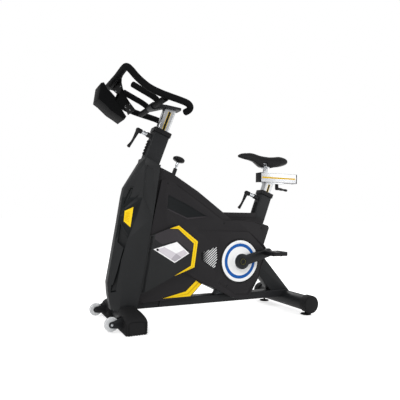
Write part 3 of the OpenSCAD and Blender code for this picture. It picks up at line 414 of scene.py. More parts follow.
def lathe(profile, place, steps=48, bm=None, dent=None):
    """Turns (radius, height) points round the local Z axis of a matrix.

    dent gives the share of a radius that is taken off at an angle."""
    bm = bmesh.new() if bm is None else bm
    loops = []
    for r, h in profile:
        ring = circle(r, h, steps if r else 1)
        for k, p in enumerate(ring if dent else []):
            p.xy = p.xy * (1 - dent(r, k * math.tau / steps))
        loops.append([bm.verts.new(place @ p) for p in ring])
    for a, b in zip(loops, loops[1:]):
        for k in range(steps):
            j = (k + 1) % steps
            if len(a) == 1 and len(b) > 1:
                bm.faces.new((a[0], b[j], b[k]))
            elif len(b) == 1 and len(a) > 1:
                bm.faces.new((a[k], a[j], b[0]))
            elif len(a) > 1:
                bm.faces.new((a[k], a[j], b[j], b[k]))
    return bm


def facing(point, axis):
    """Matrix that puts local Z along axis at a point."""
    return Matrix.Translation(point) @ Vector(axis).to_track_quat("Z", "Y").to_matrix().to_4x4()


def sideways(at, side, y=0):
    """Matrix at an X-Z point, with local Z out to one side."""
    return facing((at[0], side * y, at[1]), (0, side, 0))


def shrink(outline, by):
    """Outline moved in by a distance, corner by corner."""
    following = outline[1:] + outline[:1]
    area = sum(a[0] * b[1] - b[0] * a[1] for a, b in zip(outline, following))
    turn = 1 if area > 0 else -1
    moved = []
    for before, here, after in zip(outline[-1:] + outline[:-1], outline, following):
        first = (Vector(here) - Vector(before)).normalized()
        second = (Vector(after) - Vector(here)).normalized()
        a, b = Vector((-first.y, first.x)) * turn, Vector((-second.y, second.x)) * turn
        lie = (a + b).normalized()
        moved.append(tuple(Vector(here) + lie * by / max(0.4, lie.dot(a))))
    return moved


def paint(piece, mat, test):
    """Another material for the faces that pass a test of their centre in millimetres and their normal."""
    piece.data.materials.append(mat)
    for poly in piece.data.polygons:
        if test(poly.center / MM, poly.normal):
            poly.material_index = len(piece.data.materials) - 1


# ---- base and frame ----

for node in ("base_beam", "front_stabilizer", "rear_stabilizer", "rear_leg"):
    eased(node + "_coated", [node], powder_coat, "frame", 2.5, 3)
for node in ("front_post", "seat_tube"):
    eased(node + "_coated", [node], powder_coat, "frame", 1.5)
eased("wheel_cheeks", ["wheel_brackets"], powder_coat, "frame", 0.8, 2)
eased("collars", ["post_collars"], black_nylon, "frame", 1.2, 3)
eased("guard_strips", ["stop_strips"], moulded_rubber, "frame", 1.0, 2)
eased("rear_cover_panel", ["rear_cover"], moulded_abs, "frame", 1.5, 3)
eased("stem_plate", ["handlebar_stem"], powder_coat, "handlebar", 1.5, 3)

# domed bolt heads on the wheel axles, and the wheels with their hubs and grooved treads
WHEEL = (X_FRONT + 58.4, 41)
for side, name in SIDES:
    bolt = [(0, 4.2), (2.2, 4.0), (4.4, 3.2), (6, 1.6), (6.4, 0), (0, 0)]
    bm = lathe(bolt, sideways(WHEEL, side, 172.9), 32)
    lathe([(0, 3.2), (3.4, 2.9), (5.4, 1.6), (6, 0), (0, 0)], sideways(WHEEL, -side, -144), 32, bm)
    make_piece("wheel_bolt_" + name, bm, turned_steel, "frame")
    half = [(5.06, -10.9), (9.5, -10.9), (11, -9.4), (12, -7.6), (23.5, -7.6), (25, -8.6), (27.6, -9.4),
            (30, -8), (31.2, -5.6), (31.4, -1.6), (30.6, -0.9)]
    bm = lathe(half + [(r, -h) for r, h in half[::-1]] + half[:1], sideways(WHEEL, side, 157.5), 56)
    make_piece("transport_wheel_" + name + "_moulded", bm, soft_wheel, "wheel_" + name,
               ["transport_wheel_" + name])

# levelling feet: rubber pad with a rounded lip under a steel stud
for side, name in SIDES:
    bm = lathe([(0, 0), (24.5, 0), (27, 0.8), (28, 2.6), (27.6, 4.4), (25.6, 5.8), (17, 7.6), (9, 8),
                (6, 8.2), (6, 27.5), (5, 28), (0, 28)], facing((514, side * 192.5, 0), (0, 0, 1)))
    make_piece("levelling_foot_" + name, bm, moulded_rubber, "foot_" + name, ["foot_" + name])

# ---- sliders ----


def post_band(name, post, u0, u1, mat):
    """Printed band on both flat sides of a slider, between two depths in its post's frame."""
    origin, body, half, low, high = post
    corners = ((u0, low), (u1, low), (u1, high), (u0, high))
    bm = bmesh.new()
    for side in (-1, 1):
        near, far = [[leaned(origin, (u, side * v, w)) for u, w in corners]
                     for v in (half - 0.4, half + 0.25)]
        prism(near, far, bm)
    make_piece(name, bm, mat, body)


eased("handlebar_slider_tube", ["handlebar_slider"], polished_alloy, "handlebar", 0.8, 2)
eased("seat_slider_tube", ["seat_slider"], polished_alloy, "seat_post", 0.8, 2)
rail = eased("saddle_rail_tube", ["saddle_rail"], polished_rail, "carriage", 2.4, 3)
# painted dark reflection along the rail's eased corners
paint(rail, edge_dark_reflection, lambda c, n: abs(n.y) > 0.2 and abs(n.z) > 0.2)
eased("rail_end_caps", ["rail_caps"], black_nylon, "carriage", 1.2, 3)
eased("saddle_pillar", ["saddle_pin"], turned_steel, "carriage", 1.0, 3)
eased("saddle_clamp_wires", ["saddle_clamp"], turned_steel, "saddle_top", 0.8, 2)
LINE = 1.6
for name, half, *post in (("bar", 6, POST_TOP, "handlebar", 22, -180, 104),
                          ("seat", 5, SEAT_TOP, "seat_post", 20, -260, 48)):
    post_band(name + "_slider_band", post, -half, half, black_nylon)
    post_band(name + "_slider_line_front", post, -half - LINE, -half, yellow_enamel)
    post_band(name + "_slider_line_rear", post, half, half + LINE, yellow_enamel)
for name, z0, z1, mat, slot in (("amber", 732.2, 741, amber_enamel_and_shade, "yellow"),
                                ("blue", 725.2, 726.8, pale_blue, "white_disc")):
    bm = bmesh.new()
    for side in (-1, 1):
        side_prism([(342, z0), (572, z0), (572, z1), (342, z1)], 22.6, 23.2, side, bm=bm)
    make_piece("rail_line_" + name, bm, mat, "carriage")

# ---- drive that shows ----

for side, name in SIDES:
    at = sideways(CRANK, side)
    disc = [(10.1, 94.6), (33.5, 94.6), (35.4, 93.6), (36.4, 91.5), (37.6, 87.5), (40.5, 83.8), (46, 82.3),
            (60, 81.5), (73, 81.2), (74.8, 81.3), (75.2, 80.7), (91.9, 80.7), (92.3, 81.3), (95, 81.9),
            (99, 82.8), (104, 83), (106.8, 82.4), (108, 81), (107.6, 79.4), (106, 79.05), (10.1, 79.05),
            (10.1, 94.6)]
    make_piece("crank_disc_" + name, lathe(disc, at, 128), disc_white, "crankset",
               on_left(side, "disc_covers"), 28)
    band = [(75.4, 80.2), (75.4, 81.3), (76.4, 81.6), (90.8, 81.6), (91.7, 81.3), (91.7, 80.2), (75.4, 80.2)]
    make_piece("disc_band_" + name, lathe(band, at, 128), disc_blue, "crankset")
    # bead of the cover round the disc
    bead = [(110.4, 76), (110.4, 79), (111.4, 80.4), (113.4, 81.2), (115.6, 80.8), (117.6, 79.6), (118.6, 78),
            (118.6, 76), (110.4, 76)]
    make_piece("disc_surround_" + name, lathe(bead, at, 128), black_nylon, "frame")
    # forged arm: round boss, and a blade that narrows to the pedal
    spin = Matrix.Rotation(CRANK_TURN + (0 if side < 0 else math.pi), 2)
    outline = arc(40, 40, 320, 30) + arc(22.5, -86, 86, 20, (168, 0))
    rows = [flat([spin @ Vector(p) for p in shrink(outline, inset)], side * y, CRANK)
            for y, inset in ((95, 1.5), (96.5, 0), (106.5, 0), (109.6, 1.2), (111, 4))]
    make_piece("crank_arm_" + name, skin(bmesh.new(), rows), anodised_black, "crankset",
               ["crank_" + name], 30)
    cap = [(0, 111.6), (5, 111.6), (5.4, 112.6), (13, 112.9), (13.6, 112.3), (15, 112.3), (15.6, 112.9),
           (18.6, 113.2), (20.4, 112.8), (21, 111.6), (21, 111), (0, 111)]
    make_piece("crank_cap_" + name, lathe(cap, at, 64), black_nylon, "crankset",
               on_left(side, "crank_caps"))
    ring = [(13.7, 112), (13.7, 112.7), (14.9, 112.7), (14.9, 112), (13.7, 112)]
    make_piece("crank_cap_ring_" + name, lathe(ring, at, 64), ring_brass, "crankset")

# ---- handlebar ----


def at_bar(point):
    """Point from the handlebar's mount."""
    return (BAR[0] + point[0], point[1], BAR[1] + point[2])


ROUTE = [(-262, 0, 200), (-260, -60, 206), (-255, -130, 218), (-251, -184, 226), (-244, -202, 225),
         (-229, -205, 214), (-193, -205, 181), (-144, -205, 150), (-94, -205, 133), (-40, -205, 121),
         (10, -205, 111), (46, -203, 102), (64, -194, 89), (64, -178, 77), (52, -164, 69)]
FORWARD = [(-44, 118), (-58, 135), (-84, 151), (-128, 170), (-180, 192)]
FORWARD_Y = 75
for side, name in SIDES:
    path = [at_bar((p[0], -side * p[1], p[2])) for p in spline(ROUTE, 7)]
    bm = tube(bmesh.new(), path, 16, 36, domes=(False, True))
    make_piece("outer_bar_" + name, bm, bar_vinyl, "handlebar", ["handlebar_" + name])
bm = tube(bmesh.new(), [at_bar((-56, y, 117)) for y in (-188, -120, -60, 0, 60, 120, 188)], 15, 36, (0, 0, 1),
          (False, False))
for side in (-1, 1):
    path = [at_bar(p) for p in spline([(x, side * FORWARD_Y, z) for x, z in FORWARD], 10)]
    tube(bm, path, 14.5, 32, (0, 1, 0), (False, True))
make_piece("cross_and_forward_bars", bm, bar_vinyl, "handlebar", ["crossbar"])

# ---- covers ----


def offset_line(points, width):
    """Closed outline of a band of even width along an open X-Z line."""
    left, right = [], []
    for i, (x, z) in enumerate(points):
        before = Vector(points[max(i - 1, 0)])
        after = Vector(points[min(i + 1, len(points) - 1)])
        here = Vector((x, z))
        first = (here - before).normalized() if i else (after - here).normalized()
        second = (after - here).normalized() if i < len(points) - 1 else first
        lie = (first + second).normalized()
        across = Vector((-lie.y, lie.x))
        reach = width / 2 / max(0.5, across.dot(Vector((-first.y, first.x))))
        left.append(tuple(here + across * reach))
        right.append(tuple(here - across * reach))
    return left + right[::-1]


WINDOW = [(-239, 618), (-150, 578), (-22, 512), (-135, 499), (-244, 545)]
VENT = [(-57, 331), (34, 362), (38, 296), (22, 244), (-55, 294)]
CONTOUR = [(-78, 441), (60, 441), (208, 437), (226, 432), (243, 419), (300, 365), (331, 338), (300, 250),
           (284, 192), (262, 164), (238, 138), (226, 116), (214, 107), (142, 112), (117, 129), (40, 176)]
LEDGE = [(-214, 678), (-97, 604), (30, 519), (69, 495), (150, 497), (250, 489), (300, 474)]


def in_window(c):
    return -246 < c.x < -20 and 498 < c.z < 620


for side, name in SIDES:
    piece = frame_copy("side_cover_" + name, ["shell_" + name])
    backs = [side_prism(shrink(WINDOW, -7), 66, 77.5, side), side_prism(shrink(VENT, -5), 69.4, 77.5, side)]
    window = prism(flat(shrink(WINDOW, -1), side * 79), flat(shrink(WINDOW, 7), side * 71))
    vent = prism(flat(shrink(VENT, -0.5), side * 79), flat(shrink(VENT, 2), side * 72.2))
    lines = [side_prism(offset_line(CONTOUR, 6.5), 75.6, 79, side),
             side_prism(offset_line(LEDGE, 3.2), 76, 79, side)]
    carve(piece, backs, [window, vent] + lines)
    round_edges(piece, 1.1, 2, 24)
    finish_piece(piece, moulded_abs, "frame", ["shell_" + name], 34)
    # painted shade: the floor of the window recess is painted darker, in a colder tone
    paint(piece, sunk_abs_with_shade, lambda c, n: 70 < abs(c.y) < 77 and in_window(c) and abs(n.y) > 0.3)
    # painted shade: the vent pocket's floor behind the slats is painted darker in black nylon, standing in
    # for the dark inside the vent
    paint(piece, black_nylon, lambda c, n: 71 < abs(c.y) < 77.6 and -60 < c.x < 40 and 243 < c.z < 364)
    # painted highlight: the upward-facing walls of the window recess are painted lighter, as light catches
    # them
    paint(piece, facet_abs_highlight,
          lambda c, n: 70 < abs(c.y) < 77.6 and in_window(c) and n.z > 0.3 and abs(n.y) < 0.95)
    # slats that slant across the vent
    bm = bmesh.new()
    along, across = Vector((0.766, 0.643)), Vector((-0.643, 0.766))
    for k in range(-8, 9):
        start, cut = Vector((-5, 300)) + across * (k * 9.7), []
        for a, b in zip(VENT, VENT[1:] + VENT[:1]):
            a, b = Vector(a) - start, Vector(b) - start
            da, db = a.dot(across), b.dot(across)
            if da * db < 0:
                cut.append(along.dot(a + (b - a) * (da / (da - db))))
        if len(cut) == 2 and max(cut) - min(cut) >= 12:
            ends = []
            for t in (min(cut) + 4, max(cut) - 2.5):
                section = [(start + along * t + across * h, side * y)
                           for h, y in ((-1.6, 72.3), (-1.5, 76), (1.5, 76), (1.6, 72.3))]
                ends.append([(p.x, y, p.y) for p, y in section])
            prism(*ends, bm)
    make_piece("vent_slats_" + name, bm, slat_grey, "frame")

make_piece("cover_joint_strip", side_prism([(70, 478), (330, 462), (330, 506), (70, 512)], -50, 50),
           moulded_abs, "frame")

# ---- front cover ----

UPPER_FACET = [(-405, -38, 697), (-415, -38, 606), (-448, -26, 558), (-440, -28, 600)]
WEDGE = [(-448, -27, 552), (-385, -53, 616), (-394, -50, 585), (-442, -31, 543)]
VENT_PLATE = [(-400, -48, 557), (-440, -31, 537), (-446, -34, 484), (-417, -56, 455)]
LONG_FACET = [(-456, -27, 478), (-424, -60, 412), (-444, -50, 300), (-477, -44, 157), (-492, -29, 152)]
SIDE_FACET = [(-352, -63, 745), (-318, -74, 740), (-314, -82, 620), (-323, -84, 505), (-369, -60, 602)]


def facet_normal(points, side):
    """Unit normal of a flat facet of the front cover, into the cover."""
    face = (points[1] - points[0]).cross(points[2] - points[0]).normalized()
    return face if face.dot(Vector((0.8, -side * 0.6, 0))) > 0 else -face


def recess(points, depth, side):
    """Backing block and pocket on a flat facet, from points on its surface."""
    middle = sum(points, Vector()) / len(points)
    face = facet_normal(points, side)
    grown = [middle + (p - middle) * (1 + 4 / (p - middle).length) for p in points]
    tight = [middle + (p - middle) * max(0.2, 1 - depth * 0.8 / (p - middle).length) for p in points]
    back = prism([p + face * 1.2 for p in grown], [p + face * (depth + 3) for p in grown])
    pocket = prism([p - face * 3 for p in points], [p + face * depth for p in tight])
    return back, pocket


def cover_point(x, y, z):
    """Nearest point of the front cover's outer surface at this height and distance from the middle."""
    for low, high in zip(COVER_ROWS, COVER_ROWS[1:]):
        if low[0] <= z <= high[0]:
            t = (z - low[0]) / (high[0] - low[0])
            strip, facet, edge = [X_FRONT + low[i] + t * (high[i] - low[i]) for i in (1, 2, 3)]
            w = abs(y)
            if w <= 60:
                x = strip + max(0, w - 22) / 38 * (facet - strip)
            else:
                x = facet + (w - 60) / 25 * (edge - facet)
            return Vector((x, y, z))


piece = frame_copy("front_cover_panel", ["front_cover"])
backs, pockets = [], []
for side in (-1, 1):
    for outline, depth in ((UPPER_FACET, 7), (WEDGE, 3), (VENT_PLATE, 3), (LONG_FACET, 11), (SIDE_FACET, 2)):
        back, pocket = recess([cover_point(x, -side * y, z) for x, y, z in outline], depth, side)
        backs.append(back)
        pockets.append(pocket)
carve(piece, backs, pockets)
round_edges(piece, 1.2, 2, 20)
finish_piece(piece, front_abs, "frame", ["front_cover"], 30)
# painted shade: the floors of the front cover's pockets are painted darker
paint(piece, sunk_abs_with_shade, lambda c, n: abs(c.y) < 62 and 150 < c.z < 700 and n.x < -0.1
      and 1.4 < c.x - cover_point(c.x, c.y, c.z).x < 20)

# filler strips in the joint between the front cover and the fairings and side covers
SEAM = [(X_FRONT + row[3] + 0.6, row[0]) for row in COVER_ROWS]
LOW_SEAM = [p for p in SEAM if 140 < p[1] < 420]
LOW_SEAM = [(LOW_SEAM[0][0] - 1.5, 146)] + LOW_SEAM + [(-330.5, 418)]
HIGH_SEAM = [(-330, 424)] + [p for p in SEAM if 424 < p[1] < 790]
for side, name in SIDES:
    make_piece("seam_strip_low_" + name, side_prism(offset_line(LOW_SEAM, 5), 74, 85.1, side),
               front_abs, "frame")
    make_piece("seam_strip_high_" + name, side_prism(offset_line(HIGH_SEAM, 5), 68, 77.6, side),
               moulded_abs, "frame")

# yellow louvred plates in the front cover
for side, name in SIDES:
    plate = [cover_point(x, -side * y, z) for x, y, z in VENT_PLATE]
    face = facet_normal(plate, side)
    middle = sum(plate, Vector()) / len(plate)
    loop = [middle + (q - middle) * 0.93 for q in plate]
    make_piece("front_vent_" + name, prism([q - face * 0.6 for q in loop], [q + face * 2.9 for q in loop]),
               yellow_enamel, "frame")
    bm = bmesh.new()
    rise = (loop[2] - loop[1]).normalized() * 1.2
    for k in range(7):
        a, b = loop[1].lerp(loop[2], 0.2 + k * 0.1), loop[0].lerp(loop[3], 0.2 + k * 0.1)
        prism(*[[p - rise - face * 0.5, p + rise - face * 0.5, p - face * 1.7]
                for p in (a.lerp(b, 0.14), a.lerp(b, 0.68))], bm)
    make_piece("front_vent_louvres_" + name, bm, amber_enamel_and_shade, "frame")

# ---- side fairings, badges and yellow bands ----

LIGHT_FACET = [(-334, 419), (-194, 473), (-96, 396), (-100, 352), (-128, 345), (-197, 396), (-272, 378)]
BADGE = [(-318, 356), (-197, 389), (-131, 332), (-208, 288)]
CHEVRON = [(-236, 453), (-189, 468), (-86, 390), (-103, 263), (-207, 226)]
CHEVRON_IN = [(-236, 453), (-192, 452), (-107, 379.5), (-121.5, 271), (-207, 226)]
STRIPE = [(-251, 115), (-108, 116), (-47, 172)]
STRIPE_IN = [(-251, 115), (-131, 141), (-76, 191)]


def ridged_band(outer, inner, base, side):
    """Band with a flat top between two sloping sides. The top takes the second material, a darker copy
    painted as shade.
    """
    top = base + 3.6
    rows = []
    for a, b in zip(outer, inner):
        a, b = Vector(a), Vector(b)
        first, second = a.lerp(b, 0.42), a.lerp(b, 0.64)
        rows.append([(p.x, side * y, p.y) for p, y in
                     ((a, base), (a, top - 1), (first, top), (second, top), (b, top - 1), (b, base))])
    bm = skin(bmesh.new(), rows)
    for face in list(bm.faces)[2:6 * (len(rows) - 1):6]:
        face.material_index = 1
    bmesh.ops.remove_doubles(bm, verts=bm.verts, dist=0.05)
    return bm


for side, name in SIDES:
    piece = frame_copy("side_fairing_" + name, ["side_fairings"])
    bm = bmesh.new()
    bm.from_mesh(piece.data)
    bmesh.ops.delete(bm, geom=[v for v in bm.verts if v.co.y * side < 0], context="VERTS")
    low, high = Vector((-375, side * 86, 147)) * MM, Vector((-334, side * 86, 401)) * MM
    out = (high - low).cross(Vector((24, side * 10, 0))).normalized()
    out = out if out.y * side > 0 else -out
    bmesh.ops.bisect_plane(bm, geom=bm.verts[:] + bm.edges[:] + bm.faces[:], plane_co=low, plane_no=out,
                           clear_outer=True)
    bmesh.ops.holes_fill(bm, edges=[e for e in bm.edges if e.is_boundary])
    bm.to_mesh(piece.data)
    bm.free()
    slope = [FAIRING_Y - max(0, z - 352 + (x + 130) * 0.2) * 0.02 for x, z in LIGHT_FACET]
    tilt = prism(flat(LIGHT_FACET, side * 99), [(x, side * y, z) for (x, z), y in zip(LIGHT_FACET, slope)])
    bmesh.ops.triangulate(tilt, faces=tilt.faces)
    carve(piece, [], [tilt])
    round_edges(piece, 1.2, 2, 20)
    finish_piece(piece, front_abs, "frame", ["side_fairings"] if side < 0 else [], 30)
    # painted highlight: the tilted facet of the fairing is painted lighter, as light catches it
    paint(piece, facet_abs_highlight, lambda c, n: 88 < abs(c.y) < FAIRING_Y - 0.03 and abs(n.y) > 0.9 and c.z > 340)
    # badge: a stepped rim, and facets that meet at a raised point, with no mark on it
    bm = bmesh.new()
    base, edge, step, lip = [[bm.verts.new(p) for p in flat(shrink(BADGE, inset), side * y)]
                             for inset, y in ((0, FAIRING_Y), (0.6, 97.4), (4.5, 98), (5.2, 97.6))]
    peak = bm.verts.new((-202.5, side * 100.2, 334))
    split = [bm.verts.new(p) for p in
             flat([(-262, 365.2), (-161, 350.3), (-172.5, 313.4), (-228, 306.2)], side * 97.6)]
    for i in range(4):
        j = (i + 1) % 4
        bm.faces.new((base[i], base[j], edge[j], edge[i]))
        bm.faces.new((edge[i], edge[j], step[j], step[i]))
        bm.faces.new((step[i], step[j], lip[j], split[i], lip[i]))
    for index, corners in ((0, (split[0], lip[1], split[1])), (1, (split[3], lip[0], split[0])),
                           (1, (split[1], lip[2], split[2])), (2, (split[2], lip[3], split[3]))):
        for a, b in zip(corners, corners[1:]):
            bm.faces.new((a, b, peak)).material_index = index
    # painted shade: the side facets take the darker lilac and grey copies of the white
    make_piece("badge_plate_" + name, bm, [badge_white, badge_lilac_shade, badge_grey_shade], "frame",
               on_left(side, "badges"), 12)
    screw = [(0, 100), (3.4, 100), (5.2, 99.4), (6, 98), (6, 96.4), (0, 96.4)]
    make_piece("badge_screw_" + name, lathe(screw, sideways((-297, 353.5), side), 24), black_nylon, "frame")
    # painted shade: the darker amber covers the band's top facet
    make_piece("chevron_" + name, ridged_band(CHEVRON, CHEVRON_IN, 95, side), [yellow_enamel, amber_enamel_and_shade],
               "frame", on_left(side, "yellow_trims"), 8)
    make_piece("beam_stripe_" + name, ridged_band(STRIPE, STRIPE_IN, 61, side), [yellow_enamel, amber_enamel_and_shade],
               "frame", [], 8)
    make_piece("chevron_edge_" + name, side_prism(offset_line(CHEVRON[1:], 3), 95.5, 96.7, side), ink_blue,
               "frame")

# ---- screws ----

COVER_SCREWS = [(73, 479), (303, 456), (95, 157), (-242, 673)]
BEAM_SCREWS, BEAM_Y = [(-343, 91), (-144, 90)], 30


def socket_screw(bm, place, axis, r=5):
    """Button head with a hexagonal socket."""
    rows = [circle(r * share, h, 24) for share, h in ((1, 0), (0.97, 0.5), (0.8, 1.2), (0.55, 1.5))]
    for h in (1.5, 0.1):
        rows.append([Vector((0, 0, h)) + p / math.cos((k % 4 - 2) * math.tau / 24)
                     for k, p in enumerate(circle(0.42 * r, 0, 24))])
    at = facing(place, axis)
    skin(bm, [[at @ p for p in row] for row in rows])


bm = bmesh.new()
for side in (-1, 1):
    for x, z in COVER_SCREWS:
        socket_screw(bm, (x, side * SIDE_Y, z), (0, side, 0))
make_piece("cover_socket_screws", bm, black_nylon, "frame", ["cover_screws"])
bm = bmesh.new()
for side in (-1, 1):
    for x, z in BEAM_SCREWS:
        socket_screw(bm, (x, side * BEAM_Y, z), (0, side, 0), 4)
    for spot, axis in (((-425, side * 31, 636), (-0.75, side * 0.66, 0)),
                       ((-342, side * 65, 751), (-0.45, side * 0.89, 0))):
        socket_screw(bm, cover_point(*spot), axis, 4.5)
make_piece("panel_screws", bm, black_nylon, "frame")

# ---- front panel and tray ----

# distance down the panel, and its half width there
PANEL_HALF = [(2, 192), (18, 178), (32, 142), (38, 102), (52, 72), (76, 50), (112, 38), (140, 41), (165, 51),
              (188, 60)]
DROP = math.radians(57.8)


def on_panel(s, y, out):
    """Point on the front panel: distance down it, side, and distance in front of its face."""
    x = BAR[0] - 259 + s * math.cos(DROP) + out * math.sin(DROP)
    z = BAR[1] + 237 - s * math.sin(DROP) + out * math.cos(DROP)
    return (x, y, z)


# a folded sheet with a raised rib down its middle and a turned lip round its edge
dense = []
for (s0, h0), (s1, h1) in zip(PANEL_HALF, PANEL_HALF[1:]):
    steps = max(1, round((s1 - s0) / 6))
    dense += [(s0 + (s1 - s0) * k / steps, h0 + (h1 - h0) * k / steps) for k in range(steps)]
dense.append(PANEL_HALF[-1])
shares = (-1, -0.985, -0.93, -0.5, -0.16, -0.1, 0, 0.1, 0.16, 0.5, 0.93, 0.985, 1)
rows = []
for s, h in dense:
    front = []
    for t in shares:
        lift = -2.6 if abs(t) == 1 else -0.8 if abs(t) > 0.98 else 0
        lift -= 1.1 if abs(t) < 0.13 and 40 < s < 150 else 0
        front.append(on_panel(s, h * t, lift - 0.3))
    rows.append(front + [on_panel(s, h * t, -3.9) for t in shares[::-1]])
make_piece("front_panel_sheet", skin(bmesh.new(), rows), panel_abs, "handlebar",
           ["front_panel"], 30)
bm = bmesh.new()
for s, y in ((60, 44), (60, -44), (150, 34), (150, -34), (172, 0)):
    socket_screw(bm, on_panel(s, y, -0.4), (math.sin(DROP), 0, math.cos(DROP)), 4.5)
    socket_screw(bm, on_panel(s, y, -3.7), (-math.sin(DROP), 0, -math.cos(DROP)), 4.5)
make_piece("front_panel_screws", bm, turned_steel, "handlebar")

tray = frame_copy("front_tray", ["holder"])
round_edges(tray, 2.2, 3, 24)
finish_piece(tray, panel_abs, "handlebar", ["holder"], 34)

# ---- levers and knob ----


def leaning(origin):
    """Matrix of a leaning post's own frame."""
    return Matrix.Translation((origin[0], 0, origin[1])) @ Matrix.Rotation(LEAN, 4, "Y")


def clamp_lever(name, origin, body, depth, out, slide_d):
    """Lever of a post clamp: chrome barrel and stud, and a black arm that widens to a rounded tip."""
    hub = -depth / 2 - out - 0.3
    at = leaning(origin) @ Matrix.Translation((0, 0, -47))
    out_way = at @ Matrix.Translation((hub, 0, 0)) @ Matrix.Rotation(math.radians(-90), 4, "Y")
    bm = lathe([(5, hub + slide_d / 2 + 1), (5, 0), (8.5, 0), (10.4, 1.2), (11, 3), (11, 7), (9.6, 8.2),
                (9.6, 10.4), (11, 11.6), (11, 20), (10, 22), (8.8, 23.4), (8.8, 28.4), (0, 28.4)], out_way)
    make_piece(name + "_barrel", bm, turned_steel, body)
    head = hub - 28
    bm = lathe([(0, 0), (9.4, 0), (11.2, 0.9), (12, 3), (12, 22), (11, 27), (8, 30.6), (4, 31.8), (0, 32)],
               out_way @ Matrix.Translation((0, 0, 28)), 40)
    path = [at @ Vector(p) for p in spline([(head - 19, 0, -2), (head - 22, 0, -16), (head - 24.5, 0, -40),
                                            (head - 29, 0, -68), (head - 36, 0, -94)], 6)]
    tube(bm, path, lambda t: 11.4 - 5.2 * min(1, t / 0.6) + 2.8 * max(0, (t - 0.76) / 0.24) ** 1.4, 24,
         (0, 1, 0))
    make_piece(name + "_arm", bm, black_nylon, body, [name], 40)


clamp_lever("post_lever", POST_TOP, "post_lever", 84, 22, 60)
clamp_lever("seat_lever", SEAT_TOP, "seat_lever", 70, 29, 50)
at = Matrix.Translation((458, 0, 703))
stud = [(0, -5), (5, -5), (5, 29.5), (4.4, 30), (0, 30)]
make_piece("rail_lever_stud", lathe(stud, at, 32), turned_steel, "rail_lever")
hub = [(0, -33.6), (5, -33.2), (8.4, -31), (10, -27), (10, -2.4), (9.2, -0.9), (8, -0.4), (5.1, -0.4)]
bm = lathe(hub, at, 40)
tube(bm, [at @ Vector(p) for p in spline([(0, 0, -24), (18, 0, -26.5), (44, 0, -30), (70, 0, -33)], 6)],
     lambda t: 9.6 - 3 * min(1, t / 0.6) + 0.9 * math.sin(t * 16) * min(1, t * 3), 24, (0, 1, 0))
make_piece("rail_lever_arm", bm, black_nylon, "rail_lever", ["rail_lever"], 40)

# knob with eight finger scallops
profile = [(5.06, -13.9), (13.6, -14), (15, -13.4), (25.4, -10), (28.6, -7.6), (30.6, -4), (31, -2), (31, 2),
           (30.6, 4.4), (27.6, 8), (24, 10.9), (18, 12.9), (12, 13.9), (10.6, 13.2), (9.4, 13.2), (0, 13.9)]
bm = lathe(profile, leaning(KNOB), 96,
           dent=lambda r, a: 0.085 * max(0, (r - 20) / 11) * max(0, math.cos(8 * a)) ** 1.5)
make_piece("resistance_knob", bm, black_nylon, "knob", ["knob"], 40)
eased("brake_rod_turned", ["brake_rod"], turned_steel, "brake_rod", 0.5, 2)
eased("knob_bushing", ["knob_bush"], black_nylon, "frame", 0.8, 2)

# ---- feet, caps and pedals ----

BOOT_X, BOOT_IN, BOOT_OUT = X_FRONT + 152.5, 87, 233


def boot_section(height, scale):
    """Arched outline with serrated lower flanks and sole, in X and Z."""
    full = max(84, height)
    half = [(2 + k * 2, 3 if k % 6 in (1, 2, 3) else 0) for k in range(22)]
    half += [(48.4 - (4 if k % 6 in (1, 2, 3) else 0), 2 + k * 2) for k in range(28)]
    for k in range(1, 16):
        a = math.radians(90 * k / 16)
        half.append((48.4 * math.cos(a) ** 0.62, 58 + (full - 58) * math.sin(a) ** 0.9))
    loop = half + [(0, full)] + [(-x, z) for x, z in half[::-1]]
    return [(x * scale, max(0, (35 + (z - 35) * scale) * height / full)) for x, z in loop]


# stations of a boot: side, height, and share of its section
BOOT = [(BOOT_IN, 96, 0.95), (BOOT_IN + 1.5, 96, 0.985), (BOOT_IN + 4, 96, 1), (120, 94, 1), (160, 91, 1),
        (192, 86, 1), (BOOT_OUT - 22, 81, 1), (BOOT_OUT - 12, 76, 1), (BOOT_OUT - 5, 71, 0.99),
        (BOOT_OUT - 1.5, 68, 0.965), (BOOT_OUT, 67, 0.93), (BOOT_OUT, 67, 0.84), (BOOT_OUT - 2, 67, 0.82),
        (BOOT_OUT - 2, 67, 0.78), (BOOT_OUT, 67, 0.76), (BOOT_OUT, 67, 0.3)]
for side, name in SIDES:
    rows = [flat(boot_section(height, scale), side * y, (BOOT_X, 0)) for y, height, scale in BOOT]
    make_piece("front_boot_" + name, skin(bmesh.new(), rows), moulded_rubber, "frame",
               on_left(side, "front_boots"), 30)
eased("rear_end_caps", ["rear_caps"], moulded_rubber, "frame", 2.0, 3)

PEDAL_IN, PEDAL_W, PEDAL_L = 118, 97, 92
PEDAL_Y = PEDAL_IN + PEDAL_W / 2


def rounded_loop(half_x, half_y, radius):
    """Points round a rectangle with round corners."""
    corners = []
    for x, y, start in ((1, 1, 0), (-1, 1, 90), (-1, -1, 180), (1, -1, 270)):
        corners += arc(radius, start, start + 90, 6, (x * (half_x - radius), y * (half_y - radius)))
    return corners


